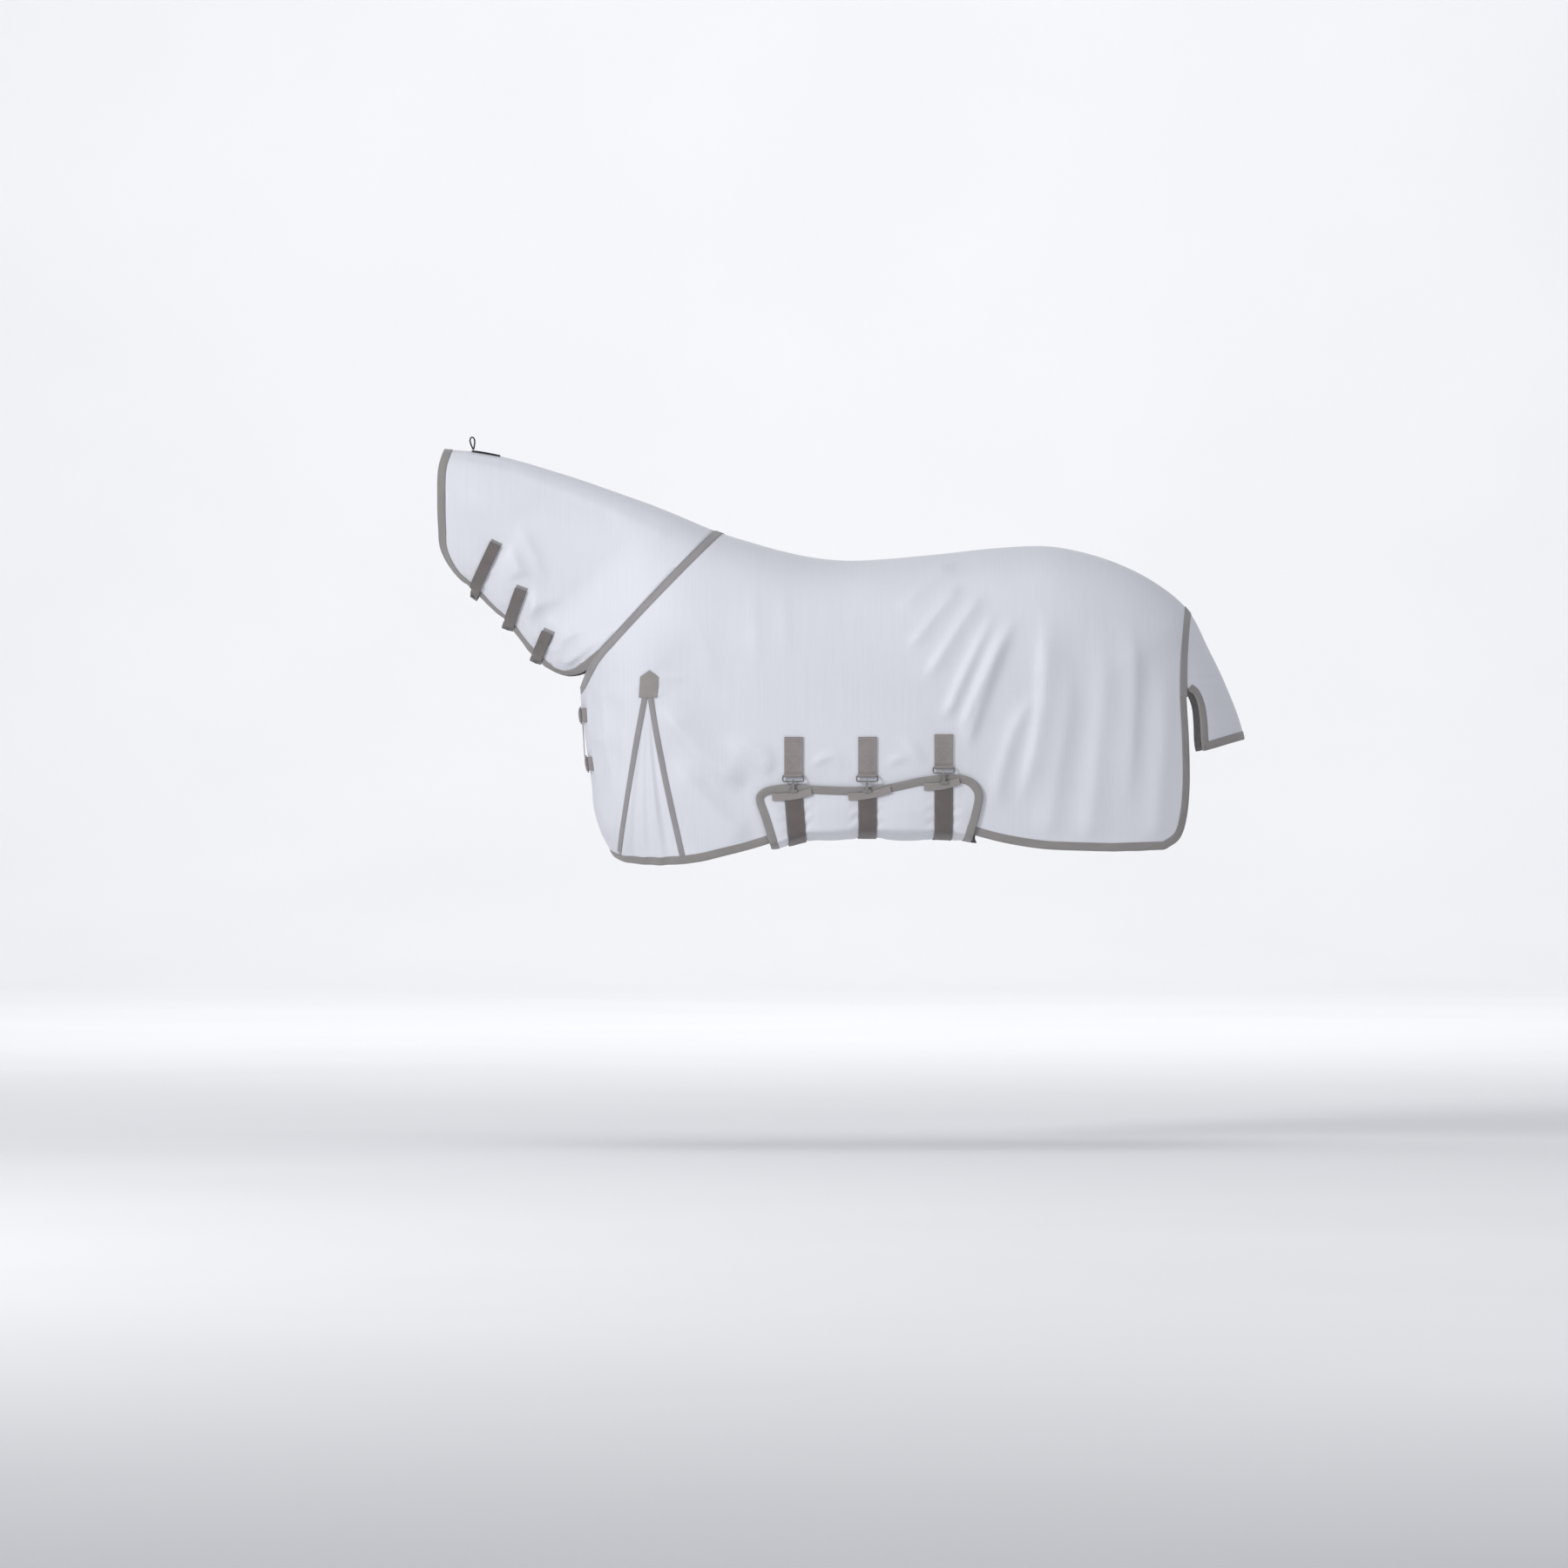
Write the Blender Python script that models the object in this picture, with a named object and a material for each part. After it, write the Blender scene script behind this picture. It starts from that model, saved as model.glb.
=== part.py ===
"""Fly sheet for a horse: a cloth body with a sewn-on neck cover, gussets, belly flap and tail flap.

Metres, +Z up. The horse faces -X and its near (left) side is -Y. The origin is on the centre plane at the
withers, where the neck seam meets the topline. Every flat piece of cloth or tape is a thin layer of one
form: half_width gives the horse's half width at a point of the side view, and each piece is the part of a
layer that lies inside its own side-view pattern. The hardware is placed on that form by its local axes.
"""

import math

import bmesh
import bpy
import numpy as np
from mathutils import Matrix, Vector
from mathutils.bvhtree import BVHTree

# Driving dimensions.
BACK_LENGTH = 1.300  # withers to dock, along X
SIDE_DROP = 0.911  # withers to the lowest hem
BARREL_WIDTH = 0.670  # widest part of the sheet
NECK_WIDTH = 0.270  # widest part of the neck cover
CLOTH = 0.0015
TAPE = 0.0015  # binding tape
WEBBING = 0.0020
LAYER_GAP = 0.0004  # between two sewn layers
SEAM_GAP = 0.0006  # between two pieces that meet edge to edge
BINDING_WIDTH = 0.021
GUSSET_BINDING_WIDTH = 0.016
BINDING_LIP = 0.002  # how far a binding passes the cloth's edge
SURCINGLE_WIDTH = 0.050
NECK_STRAP_WIDTH = 0.032
NECK_STRAP_THICKNESS = 0.0030
CHEST_STRAP_WIDTH = 0.038
FLAP_CLEARANCE = 0.006  # belly flap to body cloth on the near side
SEWN_CLEARANCE = 0.0025  # and on the off side, where it is sewn
WIRE_RADIUS = 0.0020  # buckle frames
PLATE = 0.0022  # hook plates
BAR_CLEARANCE = 0.0006  # a bar to the webbing or the eye round it
FRAME_HEIGHT = 0.015  # between the centres of a buckle frame's bars
HOOK_LENGTH = 0.030
HARDWARE_STANDOFF = 0.0030  # cloth to a webbing fold
STRAP_STANDOFF = 0.0059  # cloth to the middle of a loose strap
POLL_STRAP_LENGTH, POLL_STRAP_WIDTH, POLL_STRAP_THICKNESS = 0.078, 0.020, 0.003
POLL_LOOP_HEIGHT, POLL_LOOP_WIDTH, POLL_CORD_RADIUS = 0.034, 0.018, 0.0022

# The pattern points below are for this back length and drop, and follow the driving dimensions.
DRAWN_BACK_LENGTH, DRAWN_DROP = 1.300, 0.911
CLOTH_COLOUR, TAPE_COLOUR, WEBBING_COLOUR = (0.66, 0.67, 0.72), (0.27, 0.25, 0.245), (0.22, 0.195, 0.19)
BLACK_COLOUR, METAL_COLOUR = (0.012, 0.012, 0.013), (0.42, 0.41, 0.39)


def to_scale(points):
    """Side-view pattern points at the driving dimensions."""
    return np.array(points, float) * (BACK_LENGTH / DRAWN_BACK_LENGTH, SIDE_DROP / DRAWN_DROP)


def smooth(points, per_span=8):
    """A Catmull-Rom curve through side-view points."""
    p = np.asarray(points, float)
    p = np.vstack([2 * p[0] - p[1], p, 2 * p[-1] - p[-2]])
    t = np.linspace(0, 1, per_span, endpoint=False)[:, None]
    spans = []
    for a, b, c, d in zip(p, p[1:], p[2:], p[3:]):
        spans.append(b + 0.5 * t * (c - a + t * (2 * a - 5 * b + 4 * c - d + t * (3 * (b - c) + d - a))))
    return np.vstack([*spans, p[-2]])


def along(line, share):
    """Points at shares of a line's length."""
    steps = np.concatenate([[0], np.cumsum(np.linalg.norm(np.diff(line, axis=0), axis=1))])
    return np.stack([np.interp(np.asarray(share) * steps[-1], steps, line[:, k]) for k in range(2)], -1)


def span(line, start, end):
    """The stretch of a line between the points nearest to two given ones."""
    near = [int(np.argmin(np.linalg.norm(line - to_scale(p), axis=1))) for p in (start, end)]
    return line[near[0] : near[1] + 1]


# Side view, as (X, Z). The topline runs over crest, back and rump, and then down the tail flap.
TOPLINE = smooth(to_scale([
    (-0.860, 0.226), (-0.730, 0.224), (-0.600, 0.208), (-0.400, 0.151), (-0.165, 0.069), (0.000, 0.001),
    (0.118, -0.036), (0.248, -0.068), (0.380, -0.080), (0.560, -0.069), (0.780, -0.045), (0.930, -0.042),
    (1.074, -0.078), (1.200, -0.137), (1.296, -0.217), (1.350, -0.318), (1.400, -0.428), (1.442, -0.552),
    (1.458, -0.700), (1.455, -0.960),
]))  # fmt: skip
# The front line runs under the throat and down the breast.
FRONTLINE = smooth(to_scale([
    (-0.880, 0.060), (-0.748, -0.085), (-0.655, -0.170), (-0.570, -0.254), (-0.507, -0.336),
    (-0.460, -0.380),
    (-0.420, -0.397), (-0.385, -0.407), (-0.367, -0.426), (-0.367, -0.460), (-0.361, -0.526),
    (-0.354, -0.573),
    (-0.340, -0.668), (-0.328, -0.762), (-0.314, -0.815), (-0.290, -0.866), (-0.262, -0.910),
    (-0.225, -0.965),
]))  # fmt: skip
SHOULDER_SEAM = to_scale([
    (0.012, 0.012), (-0.094, -0.097), (-0.189, -0.196), (-0.283, -0.297), (-0.307, -0.321),
])  # fmt: skip
NECKLINE = to_scale([(-0.330, -0.349), (-0.350, -0.385), (-0.367, -0.426)])
NECK_EDGE = smooth(to_scale([
    (-0.714, 0.260), (-0.722, 0.222), (-0.736, 0.165), (-0.737, 0.080), (-0.735, 0.007), (-0.731, -0.050),
    (-0.701, -0.108), (-0.649, -0.158), (-0.599, -0.207), (-0.553, -0.252), (-0.524, -0.288),
    (-0.494, -0.326), (-0.455, -0.362), (-0.422, -0.380), (-0.390, -0.379), (-0.352, -0.357),
    (-0.307, -0.321),
]), 5)  # fmt: skip
REAR_EDGE = to_scale([
    (1.306, -0.190), (1.300, -0.219), (1.290, -0.275), (1.283, -0.361), (1.281, -0.455), (1.287, -0.573),
    (1.289, -0.691), (1.281, -0.780), (1.262, -0.838), (1.222, -0.868),
])  # fmt: skip
TAIL_SEAM_FOOT = 4  # the point of REAR_EDGE where the tail flap's seam ends
HEM = to_scale([
    (1.150, -0.874), (1.015, -0.871), (0.897, -0.866), (0.802, -0.852), (0.727, -0.834), (0.655, -0.812),
    (0.550, -0.802), (0.350, -0.802), (0.235, -0.815), (0.165, -0.845), (0.100, -0.866), (0.030, -0.884),
    (-0.047, -0.902), (-0.142, -0.911), (-0.220, -0.908), (-0.262, -0.896), (-0.310, -0.868),
])  # fmt: skip
GUSSET_FRONT = to_scale([(-0.180, -0.432), (-0.207, -0.574), (-0.240, -0.773), (-0.264, -0.930)])
GUSSET_REAR = to_scale([(-0.180, -0.432), (-0.157, -0.574), (-0.123, -0.741), (-0.080, -0.930)])
GUSSET_PATCH = to_scale([
    (-0.175, -0.383), (-0.151, -0.401), (-0.155, -0.457), (-0.204, -0.457), (-0.200, -0.400),
])  # fmt: skip
TAIL_FLAP_EDGE = np.vstack([REAR_EDGE[1:TAIL_SEAM_FOOT] + (2 * SEAM_GAP, 0), to_scale([
    (1.286, -0.430), (1.304, -0.447), (1.316, -0.478), (1.321, -0.520), (1.323, -0.573), (1.327, -0.601),
])])  # fmt: skip
TAIL_FLAP_CORNER = TAIL_FLAP_EDGE[-1]
TAIL_FLAP_HEM_END = to_scale([(1.475, -0.569)])[0]
# The belly flap's outline on the near side, and how low it hangs along X.
BELLY_FLAP = smooth(to_scale([
    (0.168, -0.900), (0.155, -0.864), (0.131, -0.786), (0.114, -0.735), (0.124, -0.712), (0.148, -0.700),
    (0.200, -0.694), (0.300, -0.699), (0.400, -0.701), (0.470, -0.694), (0.566, -0.674), (0.650, -0.667),
    (0.692, -0.675), (0.718, -0.699), (0.726, -0.730), (0.714, -0.786), (0.700, -0.833), (0.690, -0.900),
]), 2)  # fmt: skip
BELLY_FLAP_LOW = smooth(to_scale([
    (0.090, -0.872), (0.165, -0.867), (0.236, -0.849), (0.283, -0.839), (0.378, -0.837), (0.566, -0.839),
    (0.661, -0.842), (0.696, -0.848), (0.760, -0.858),
]))  # fmt: skip
BELLY_FLAP_SEAM_Z = to_scale([(0, -0.770)])[0][1]  # where it is sewn to the off side
# Width of the form along X, as shares of half the neck and barrel widths.
NECK_SHARES = smooth([
    (-0.90, 0.80), (-0.70, 0.86), (-0.45, 1.00), (-0.25, 1.25), (0.00, 1.70), (0.30, 2.00),
])  # fmt: skip
BODY_SHARES = smooth([
    (-0.60, 0.74), (-0.36, 0.76), (-0.05, 0.83), (0.20, 0.93), (0.50, 1.00), (0.80, 0.98), (1.00, 0.93),
    (1.28, 0.80), (1.50, 0.74),
])  # fmt: skip
# How far below the topline the form reaches its full width, along X.
NECK_CROWN = 0.19
BODY_CROWN = smooth([(-0.60, 0.26), (0.00, 0.30), (0.50, 0.37), (1.00, 0.37), (1.50, 0.41)])
NECK_BREAST, BODY_BREAST = 0.13, 0.22
SEAM_SPREAD = 0.16  # how far each side of the shoulder seam neck widths turn into body widths
ROUNDNESS = 2.2
# The surcingles draw the cloth in under the belly: where they start and stop along X, and how much.
BELLY_DRAW, BELLY_DRAW_START, BELLY_DRAW_REACH = 0.16, 0.52, 0.42
BELLY_DRAW_ALONG = smooth([
    (-0.60, 0), (-0.10, 0.0), (0.10, 0.5), (0.30, 1), (0.62, 1), (0.85, 0.45), (1.1, 0.1), (1.6, 0.1),
])  # fmt: skip

SURCINGLE_TOPS = to_scale([(0.215, -0.564), (0.415, -0.564), (0.621, -0.557)])
SURCINGLE_FOLDS = to_scale([(0.215, -0.668), (0.415, -0.668), (0.621, -0.646)])
# The two ends of each hook guard's middle line.
GUARDS = to_scale([
    [(0.158, -0.727), (0.264, -0.712)], [(0.364, -0.726), (0.478, -0.706)],
    [(0.568, -0.699), (0.664, -0.684)],
])  # fmt: skip
GUARD_HEIGHT = 0.022
BELLY_STRAP_LEAN = (0.022, 0.002, 0.000)  # how far back each belly strap's foot is from its top
# Each neck strap in side view: its tip on the near side, then where it passes the cover's edge.
NECK_STRAPS = to_scale([
    [(-0.598, -0.036), (-0.658, -0.163)], [(-0.528, -0.160), (-0.5595, -0.249)],
    [(-0.454, -0.278), (-0.482, -0.340)],
])  # fmt: skip
NECK_PATCH_LENGTH = 0.040
NECK_STRAP_ANCHOR = 0.034  # how far a neck strap's sewn end runs up the off side
NECK_STRAP_DIP = 0.012  # how far a neck strap passes below the cover's edges
CHEST_LEVELS = to_scale([(0, -0.503), (0, -0.636)])[:, 1]
CHEST_TAB_FOLD_Y, CHEST_TAB_END_Y = -0.036, -0.095
CHEST_STRAP_TIP_Y, CHEST_STRAP_END_Y = -0.004, 0.100
CHEST_TAIL = 0.092  # the loose end that hangs from the upper strap
CHEST_TAIL_Y = 0.030
POLL_STRAP_FRONT_X = to_scale([(-0.668, 0)])[0][0]


def distance(line, x, z):
    """Distance in the side view from points to a line."""
    a, b = line[:-1], line[1:]
    p = np.stack([x, z], -1)[..., None, :]
    t = np.clip(((p - a) * (b - a)).sum(-1) / ((b - a) ** 2).sum(-1), 0, 1)
    return np.linalg.norm(p - (a + t[..., None] * (b - a)), axis=-1).min(-1)


def rounded(share):
    return (1 - (1 - np.clip(share, 0, 1)) ** ROUNDNESS) ** (1 / ROUNDNESS)


def half_width(x, z):
    """Half width of the form, in metres, at side-view points."""
    x, z = np.broadcast_arrays(np.asarray(x, float), np.asarray(z, float))
    drawn_x = x * DRAWN_BACK_LENGTH / BACK_LENGTH
    behind = (x - z) / math.sqrt(2)  # behind the shoulder seam, which runs down and forward at 45 degrees
    body = np.clip(behind / (2 * SEAM_SPREAD) + 0.5, 0, 1)
    body = body * body * (3 - 2 * body)
    neck_width = NECK_WIDTH / 2 * np.interp(drawn_x, *NECK_SHARES.T)
    body_width = BARREL_WIDTH / 2 * np.interp(drawn_x, *BODY_SHARES.T)
    crown = NECK_CROWN + (np.interp(drawn_x, *BODY_CROWN.T) - NECK_CROWN) * body
    breast = NECK_BREAST + (BODY_BREAST - NECK_BREAST) * body
    low = np.clip((-z - BELLY_DRAW_START) / BELLY_DRAW_REACH, 0, 1)
    drawn_in = 1 - BELLY_DRAW * np.interp(drawn_x, *BELLY_DRAW_ALONG.T) * low * low
    width = neck_width + (body_width - neck_width) * body
    top, front = distance(TOPLINE, x, z) / crown, distance(FRONTLINE, x, z) / breast
    return width * rounded(top) * rounded(front) * drawn_in


def crowded(round_steps, round_share, flat_steps):
    """Shares from 0 to 1 that crowd towards 0, where the form is round."""
    near = round_share * (1 - np.cos(np.linspace(0, math.pi / 2, round_steps + 1)))
    return np.concatenate([near, np.linspace(round_share, 1, flat_steps + 1)[1:]])


class Form:
    """A grid of points on the near side of the form, with outward normals."""

    def __init__(self, points, centred):
        self.points = points
        rows, columns = points.shape[:2]
        index = np.arange(rows * columns).reshape(rows, columns)
        a, b, c, d = index[:-1, :-1], index[1:, :-1], index[1:, 1:], index[:-1, 1:]
        halves = [np.stack(half, -1).reshape(-1, 3) for half in ((a, b, c), (a, c, d))]
        # Every layer splits its squares along the same diagonals, so that layers stay parallel.
        self.triangles = np.concatenate(halves)
        self.tree = BVHTree.FromPolygons(points.reshape(-1, 3).tolist(), self.triangles.tolist())
        du, dv = np.gradient(points, axis=0), np.gradient(points, axis=1)
        normals = np.cross(dv, du)
        normals[centred, 1] = 0  # on the centre plane the two sides meet square
        normals /= np.linalg.norm(normals, axis=-1, keepdims=True)
        self.normals = normals

    def at(self, x, z, side=-1):
        """The grid's point at a place in the side view."""
        hit = self.tree.ray_cast(Vector((x, -2, z)), Vector((0, 1, 0)))[0]
        y = -half_width(x, z) if hit is None else hit.y
        return np.array([x, -side * float(y), z])

    def layer(self, low, high, side=-1):
        """A closed shell between two offsets. Side 1 mirrors it to the off side."""
        rows, columns = self.points.shape[:2]
        inner, outer = self.points + low * self.normals, self.points + high * self.normals
        vertices = np.concatenate([outer.reshape(-1, 3), inner.reshape(-1, 3)]) * (1, -side, 1)
        index = np.arange(rows * columns).reshape(rows, columns)
        faces = [*self.triangles.tolist(), *(self.triangles[:, ::-1] + rows * columns).tolist()]
        rim = [*index[:, 0], *index[-1, 1:], *index[-2::-1, -1], *index[0, -2:0:-1]]
        faces += [(a, a + rows * columns, b + rows * columns, b) for a, b in zip(rim, rim[1:] + rim[:1])]
        return vertices, [tuple(map(int, f if side < 0 else f[::-1])) for f in faces]


def on_form(xz):
    """Near-side points of the form over side-view points, clear of the centre plane."""
    return np.stack([xz[..., 0], -half_width(xz[..., 0], xz[..., 1]) - SEAM_GAP / 2, xz[..., 1]], -1)


def patch(left, right, top, bottom, s, v):
    """Side-view points between four rows of edge points, at shares s to the rear and v down."""
    s, v = s[:, None, None], v[None, :, None]
    sides = (1 - s) * left[None] + s * right[None] + (1 - v) * top[:, None] + v * bottom[:, None]
    corners = (1 - v) * ((1 - s) * top[0] + s * top[-1]) + v * ((1 - s) * bottom[0] + s * bottom[-1])
    return sides - corners


def body_form():
    """The body from the shoulder seam and breast back past the rear edge, and down past the hem."""
    top = span(TOPLINE, (0.0, 0.001), (1.312, -0.245))
    breast = span(FRONTLINE, (-0.367, -0.426), (-0.242, -0.940))
    seam = smooth(np.vstack([top[:1], SHOULDER_SEAM[1:], NECKLINE[:-1], breast[:1]]))
    s, v = crowded(4, 0.12, 13), crowded(4, 0.30, 7)
    meet = 6  # the row that starts at the top of the breast
    upper_left = along(seam, v[: meet + 1] / v[meet])
    left = np.vstack([upper_left, along(breast, (v[meet:] - v[meet]) / (1 - v[meet]))[1:]])
    corner = np.array([top[-1][0], left[-1][1]])
    right = top[-1] + v[:, None] * (corner - top[-1])
    bottom = left[-1] + s[:, None] * (corner - left[-1])
    xz = patch(left, right, along(top, s), bottom, s, v)
    points = on_form(xz)
    centred = np.zeros(points.shape[:2], bool)
    centred[:, 0] = True
    centred[0] = np.abs(points[0, :, 1]) < 0.004
    return Form(points, centred)


def neck_form():
    """The neck cover from past its front edge back to past the shoulder seam."""
    top = span(TOPLINE, (-0.780, 0.225), (0.030, -0.010))
    bottom = span(FRONTLINE, (-0.775, -0.055), (-0.378, -0.436))
    share = np.linspace(0, 1, 10)
    tops, bottoms = along(top, share), along(bottom, share)
    v = (1 - np.cos(np.linspace(0, math.pi, 11))) / 2
    xz = tops[:, None] + v[None, :, None] * (bottoms - tops)[:, None]
    centred = np.zeros(xz.shape[:2], bool)
    centred[:, 0] = centred[:, -1] = True
    return Form(on_form(xz), centred)


def tail_form():
    """The tail flap, from its near-side edge round the back to the off side."""
    edge = smooth(TAIL_FLAP_EDGE)
    back = span(TOPLINE, (1.303, -0.222), (1.446, -0.575))
    share = np.linspace(0, 1, 10)
    edges, backs = along(edge, share), along(back, share)
    across = np.sin(np.linspace(0, math.pi / 2, 6))
    xz = edges[:, None] + across[None, :, None] * (backs - edges)[:, None]
    near = on_form(xz)
    near[:, -1, 1] = 0
    both = np.concatenate([near, near[:, -2::-1] * (1, -1, 1)], axis=1)
    return Form(both.transpose(1, 0, 2), np.zeros((both.shape[1], both.shape[0]), bool))


def height_at(line, x):
    """A line's height at X. The line runs either way along X."""
    step = 1 if line[-1][0] > line[0][0] else -1
    return float(np.interp(x, *line[::step].T))


def belly_form(body):
    """The belly flap: down the near side of the body, under the belly and up the off side."""
    hem = smooth(HEM)
    columns = []
    for x in np.linspace(BELLY_FLAP[:, 0].min() - 0.01, BELLY_FLAP[:, 0].max() + 0.01, 9):
        top = BELLY_FLAP[:, 1].max() + 0.02
        turn, low = height_at(hem, x) - 0.004, height_at(BELLY_FLAP_LOW, x)
        z = np.linspace(top, turn, 3)
        halves = []
        for clearance in (FLAP_CLEARANCE, SEWN_CLEARANCE):
            width = [-body.at(x, level)[1] for level in z]
            side = np.stack([np.array(width) + CLOTH + clearance, z], -1)
            side[-1, 0] += FLAP_CLEARANCE - clearance  # it clears the hem binding
            angle = np.linspace(0, math.pi / 2, 6)[1:]
            across = side[-1, 0] * np.cos(angle) ** 0.8
            across[-1] = 0
            under = np.stack([across, turn - (turn - low) * np.sin(angle) ** 0.8], -1)
            halves.append(np.vstack([side, under]))
        section = np.vstack([halves[0] * (-1, 1), halves[1][-2::-1]])
        columns.append(np.column_stack([np.full(len(section), x), section]))
    return Form(np.array(columns), np.zeros((len(columns), len(columns[0])), bool))


# Blender objects.
def material(name, colour, roughness, metallic=0.0):
    made = bpy.data.materials.new(name)
    made.use_nodes = True
    shader = made.node_tree.nodes["Principled BSDF"]
    shader.inputs["Base Color"].default_value = (*colour, 1)
    shader.inputs["Roughness"].default_value = roughness
    shader.inputs["Metallic"].default_value = metallic
    return made


def add(name, vertices, faces, finish=None):
    """A mesh object, with its faces pointing out."""
    mesh = bpy.data.meshes.new(name)
    mesh.from_pydata([tuple(map(float, v)) for v in vertices], [], faces)
    bm = bmesh.new()
    bm.from_mesh(mesh)
    bmesh.ops.recalc_face_normals(bm, faces=bm.faces)
    bm.to_mesh(mesh)
    bm.free()
    made = bpy.data.objects.new(name, mesh)
    bpy.context.scene.collection.objects.link(made)
    if finish:
        mesh.materials.append(finish)
    return made


def helper(made):
    """Marks an object as a cutter, which is no part of the sheet."""
    made.hide_render = True
    made.display_type = "WIRE"
    return made


def prism(name, outline, y_range=(-0.9, 0.9)):
    """A side-view outline extruded across the horse."""
    n = len(outline)
    vertices = [(x, y, z) for y in y_range for x, z in outline]
    faces = [tuple(range(n)), tuple(range(2 * n - 1, n - 1, -1))]
    faces += [(i, (i + 1) % n, n + (i + 1) % n, n + i) for i in range(n)]
    return helper(add(name + "_pattern", vertices, faces))


def boolean(made, operation, other):
    modifier = made.modifiers.new(operation.lower(), "BOOLEAN")
    modifier.operation, modifier.solver, modifier.object = operation, "EXACT", other
    return made


def cut_piece(name, shell, outline, finish, y_range=(-0.9, 0.9)):
    """The part of a layer inside a side-view outline."""
    return boolean(add(name, *shell, finish), "INTERSECT", prism(name, outline, y_range))


def ribbon(path, left, right):
    """The outline of a ribbon along a side-view path, this wide on each side of it, with mitred corners."""
    path = np.asarray(path, float)
    runs = np.diff(path, axis=0)
    runs /= np.linalg.norm(runs, axis=1, keepdims=True)
    normal = np.stack([-runs[:, 1], runs[:, 0]], -1)
    before, after = normal[[0, *range(len(normal))]], normal[[*range(len(normal)), -1]]
    mitre = (before + after) / (1 + (before * after).sum(1, keepdims=True))
    return np.vstack([path + left * mitre, (path - right * mitre)[::-1]])


def beam(a, b, half_height):
    """A straight bar's outline between two side-view points."""
    return ribbon(np.array([a, b]), half_height, half_height)


def set_origin(made, point):
    """Moves an object's origin to its joint axis, and leaves its shape where it is."""
    point = Vector(map(float, point))
    made.data.transform(Matrix.Translation(-point))
    made.location = point
    return made


def sweep(path, section, closed=False):
    """A section carried along a path. Path rows are a point, then the section's two axes there."""
    n, m = len(path), len(section)
    vertices = [p + a * u + b * v for p, a, b in path for u, v in section]
    turns = n if closed else n - 1
    faces = [
        (i * m + j, i * m + (j + 1) % m, (i + 1) % n * m + (j + 1) % m, (i + 1) % n * m + j)
        for i in range(turns)
        for j in range(m)
    ]
    if not closed:
        faces += [tuple(range(m))[::-1], tuple(range((n - 1) * m, n * m))]
    return vertices, faces


def circle(radius, sides=6):
    angles = np.linspace(0, 2 * math.pi, sides, endpoint=False)
    return [(radius * math.cos(a), radius * math.sin(a)) for a in angles]


def rectangle(width, height):
    w, h = width / 2, height / 2
    return [(-w, -h), (w, -h), (w, h), (-w, h)]


def ring(points, radius, flat_normal, sides=6):
    """A wire of round section along closed points that lie in a plane."""
    p = np.asarray(points, float)
    ahead = np.roll(p, -1, axis=0) - np.roll(p, 1, axis=0)
    ahead /= np.linalg.norm(ahead, axis=1, keepdims=True)
    n = np.asarray(flat_normal, float)
    return sweep([(q, np.cross(t, n), n) for q, t in zip(p, ahead)], circle(radius, sides), closed=True)


def rounded_loop(width, height, radius, steps=2):
    """A rectangle with round corners, centred on 0."""
    loop = []
    for quarter, (sx, sy) in enumerate(((1, 1), (-1, 1), (-1, -1), (1, -1))):
        for k in range(steps + 1):
            a = math.pi / 2 * (quarter + k / steps)
            across = sx * (width / 2 - radius) + radius * math.cos(a)
            loop.append((across, sy * (height / 2 - radius) + radius * math.sin(a)))
    return loop


class Place:
    """A point on the cloth with its axes: along the cloth to the rear, down, and out."""

    def __init__(self, form, x, z, lift, side=-1, down=(0, -1)):
        step = 0.004
        down = np.array(down, float) / np.linalg.norm(down)
        ahead = np.array([-down[1], down[0]])
        at = [form.at(*np.array((x, z)) + offset, side) for offset in (0 * ahead, ahead * step, down * step)]
        self.along = at[1] - at[0]
        self.down = at[2] - at[0]
        self.along /= np.linalg.norm(self.along)
        self.out = np.cross(self.along, self.down) * -side
        self.out /= np.linalg.norm(self.out)
        self.out *= np.sign(self.out[1]) * side if abs(self.out[1]) > 1e-6 else 1
        self.down = np.cross(self.out, self.along) * -side
        self.down *= -1 if self.down[2] > 0 else 1
        self.origin = at[0] + lift * self.out

    def __call__(self, along_, down_, out_):
        return self.origin + along_ * self.along + down_ * self.down + out_ * self.out


def surcingle_place(body, i):
    """The hinge line of a surcingle's buckle frame, in the fold of its webbing."""
    fold_radius = WIRE_RADIUS + BAR_CLEARANCE + WEBBING
    return Place(body, *SURCINGLE_FOLDS[i], CLOTH + HARDWARE_STANDOFF + fold_radius)


FRAME_WIDTH = SURCINGLE_WIDTH + 0.007
HOOK_PIVOT_OUT = 0.0054  # the frame leans outwards, over the belly flap's edge
EYE_WIRE = 0.0015
EYE_RADIUS = WIRE_RADIUS + BAR_CLEARANCE + EYE_WIRE + 0.0003


def rod(place, length, radius, sides=12):
    """A round bar along a place's hinge line."""
    axes = [(place(u, 0, 0), place.down, place.out) for u in (-length / 2, length / 2)]
    return sweep(axes, circle(radius, sides))


def add_fold(tab, place, width):
    """Ends a webbing tab in a fold with room for a bar."""
    outer, inner = WIRE_RADIUS + BAR_CLEARANCE + WEBBING, WIRE_RADIUS + BAR_CLEARANCE
    boolean(tab, "UNION", helper(add(tab.name + "_fold", *rod(place, width, outer))))
    boolean(tab, "DIFFERENCE", helper(add(tab.name + "_room", *rod(place, width + 0.02, inner))))


def frame_mesh(place, width):
    """A wire buckle frame that hangs from its upper bar."""
    centre = FRAME_HEIGHT / 2
    slope = HOOK_PIVOT_OUT / FRAME_HEIGHT
    loop = [place(u, centre - v, (centre - v) * slope) for u, v in rounded_loop(width, FRAME_HEIGHT, 0.004)]
    normal = np.cross(place.along, place.down + slope * place.out)
    return ring(loop, WIRE_RADIUS, normal / np.linalg.norm(normal))


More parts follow.
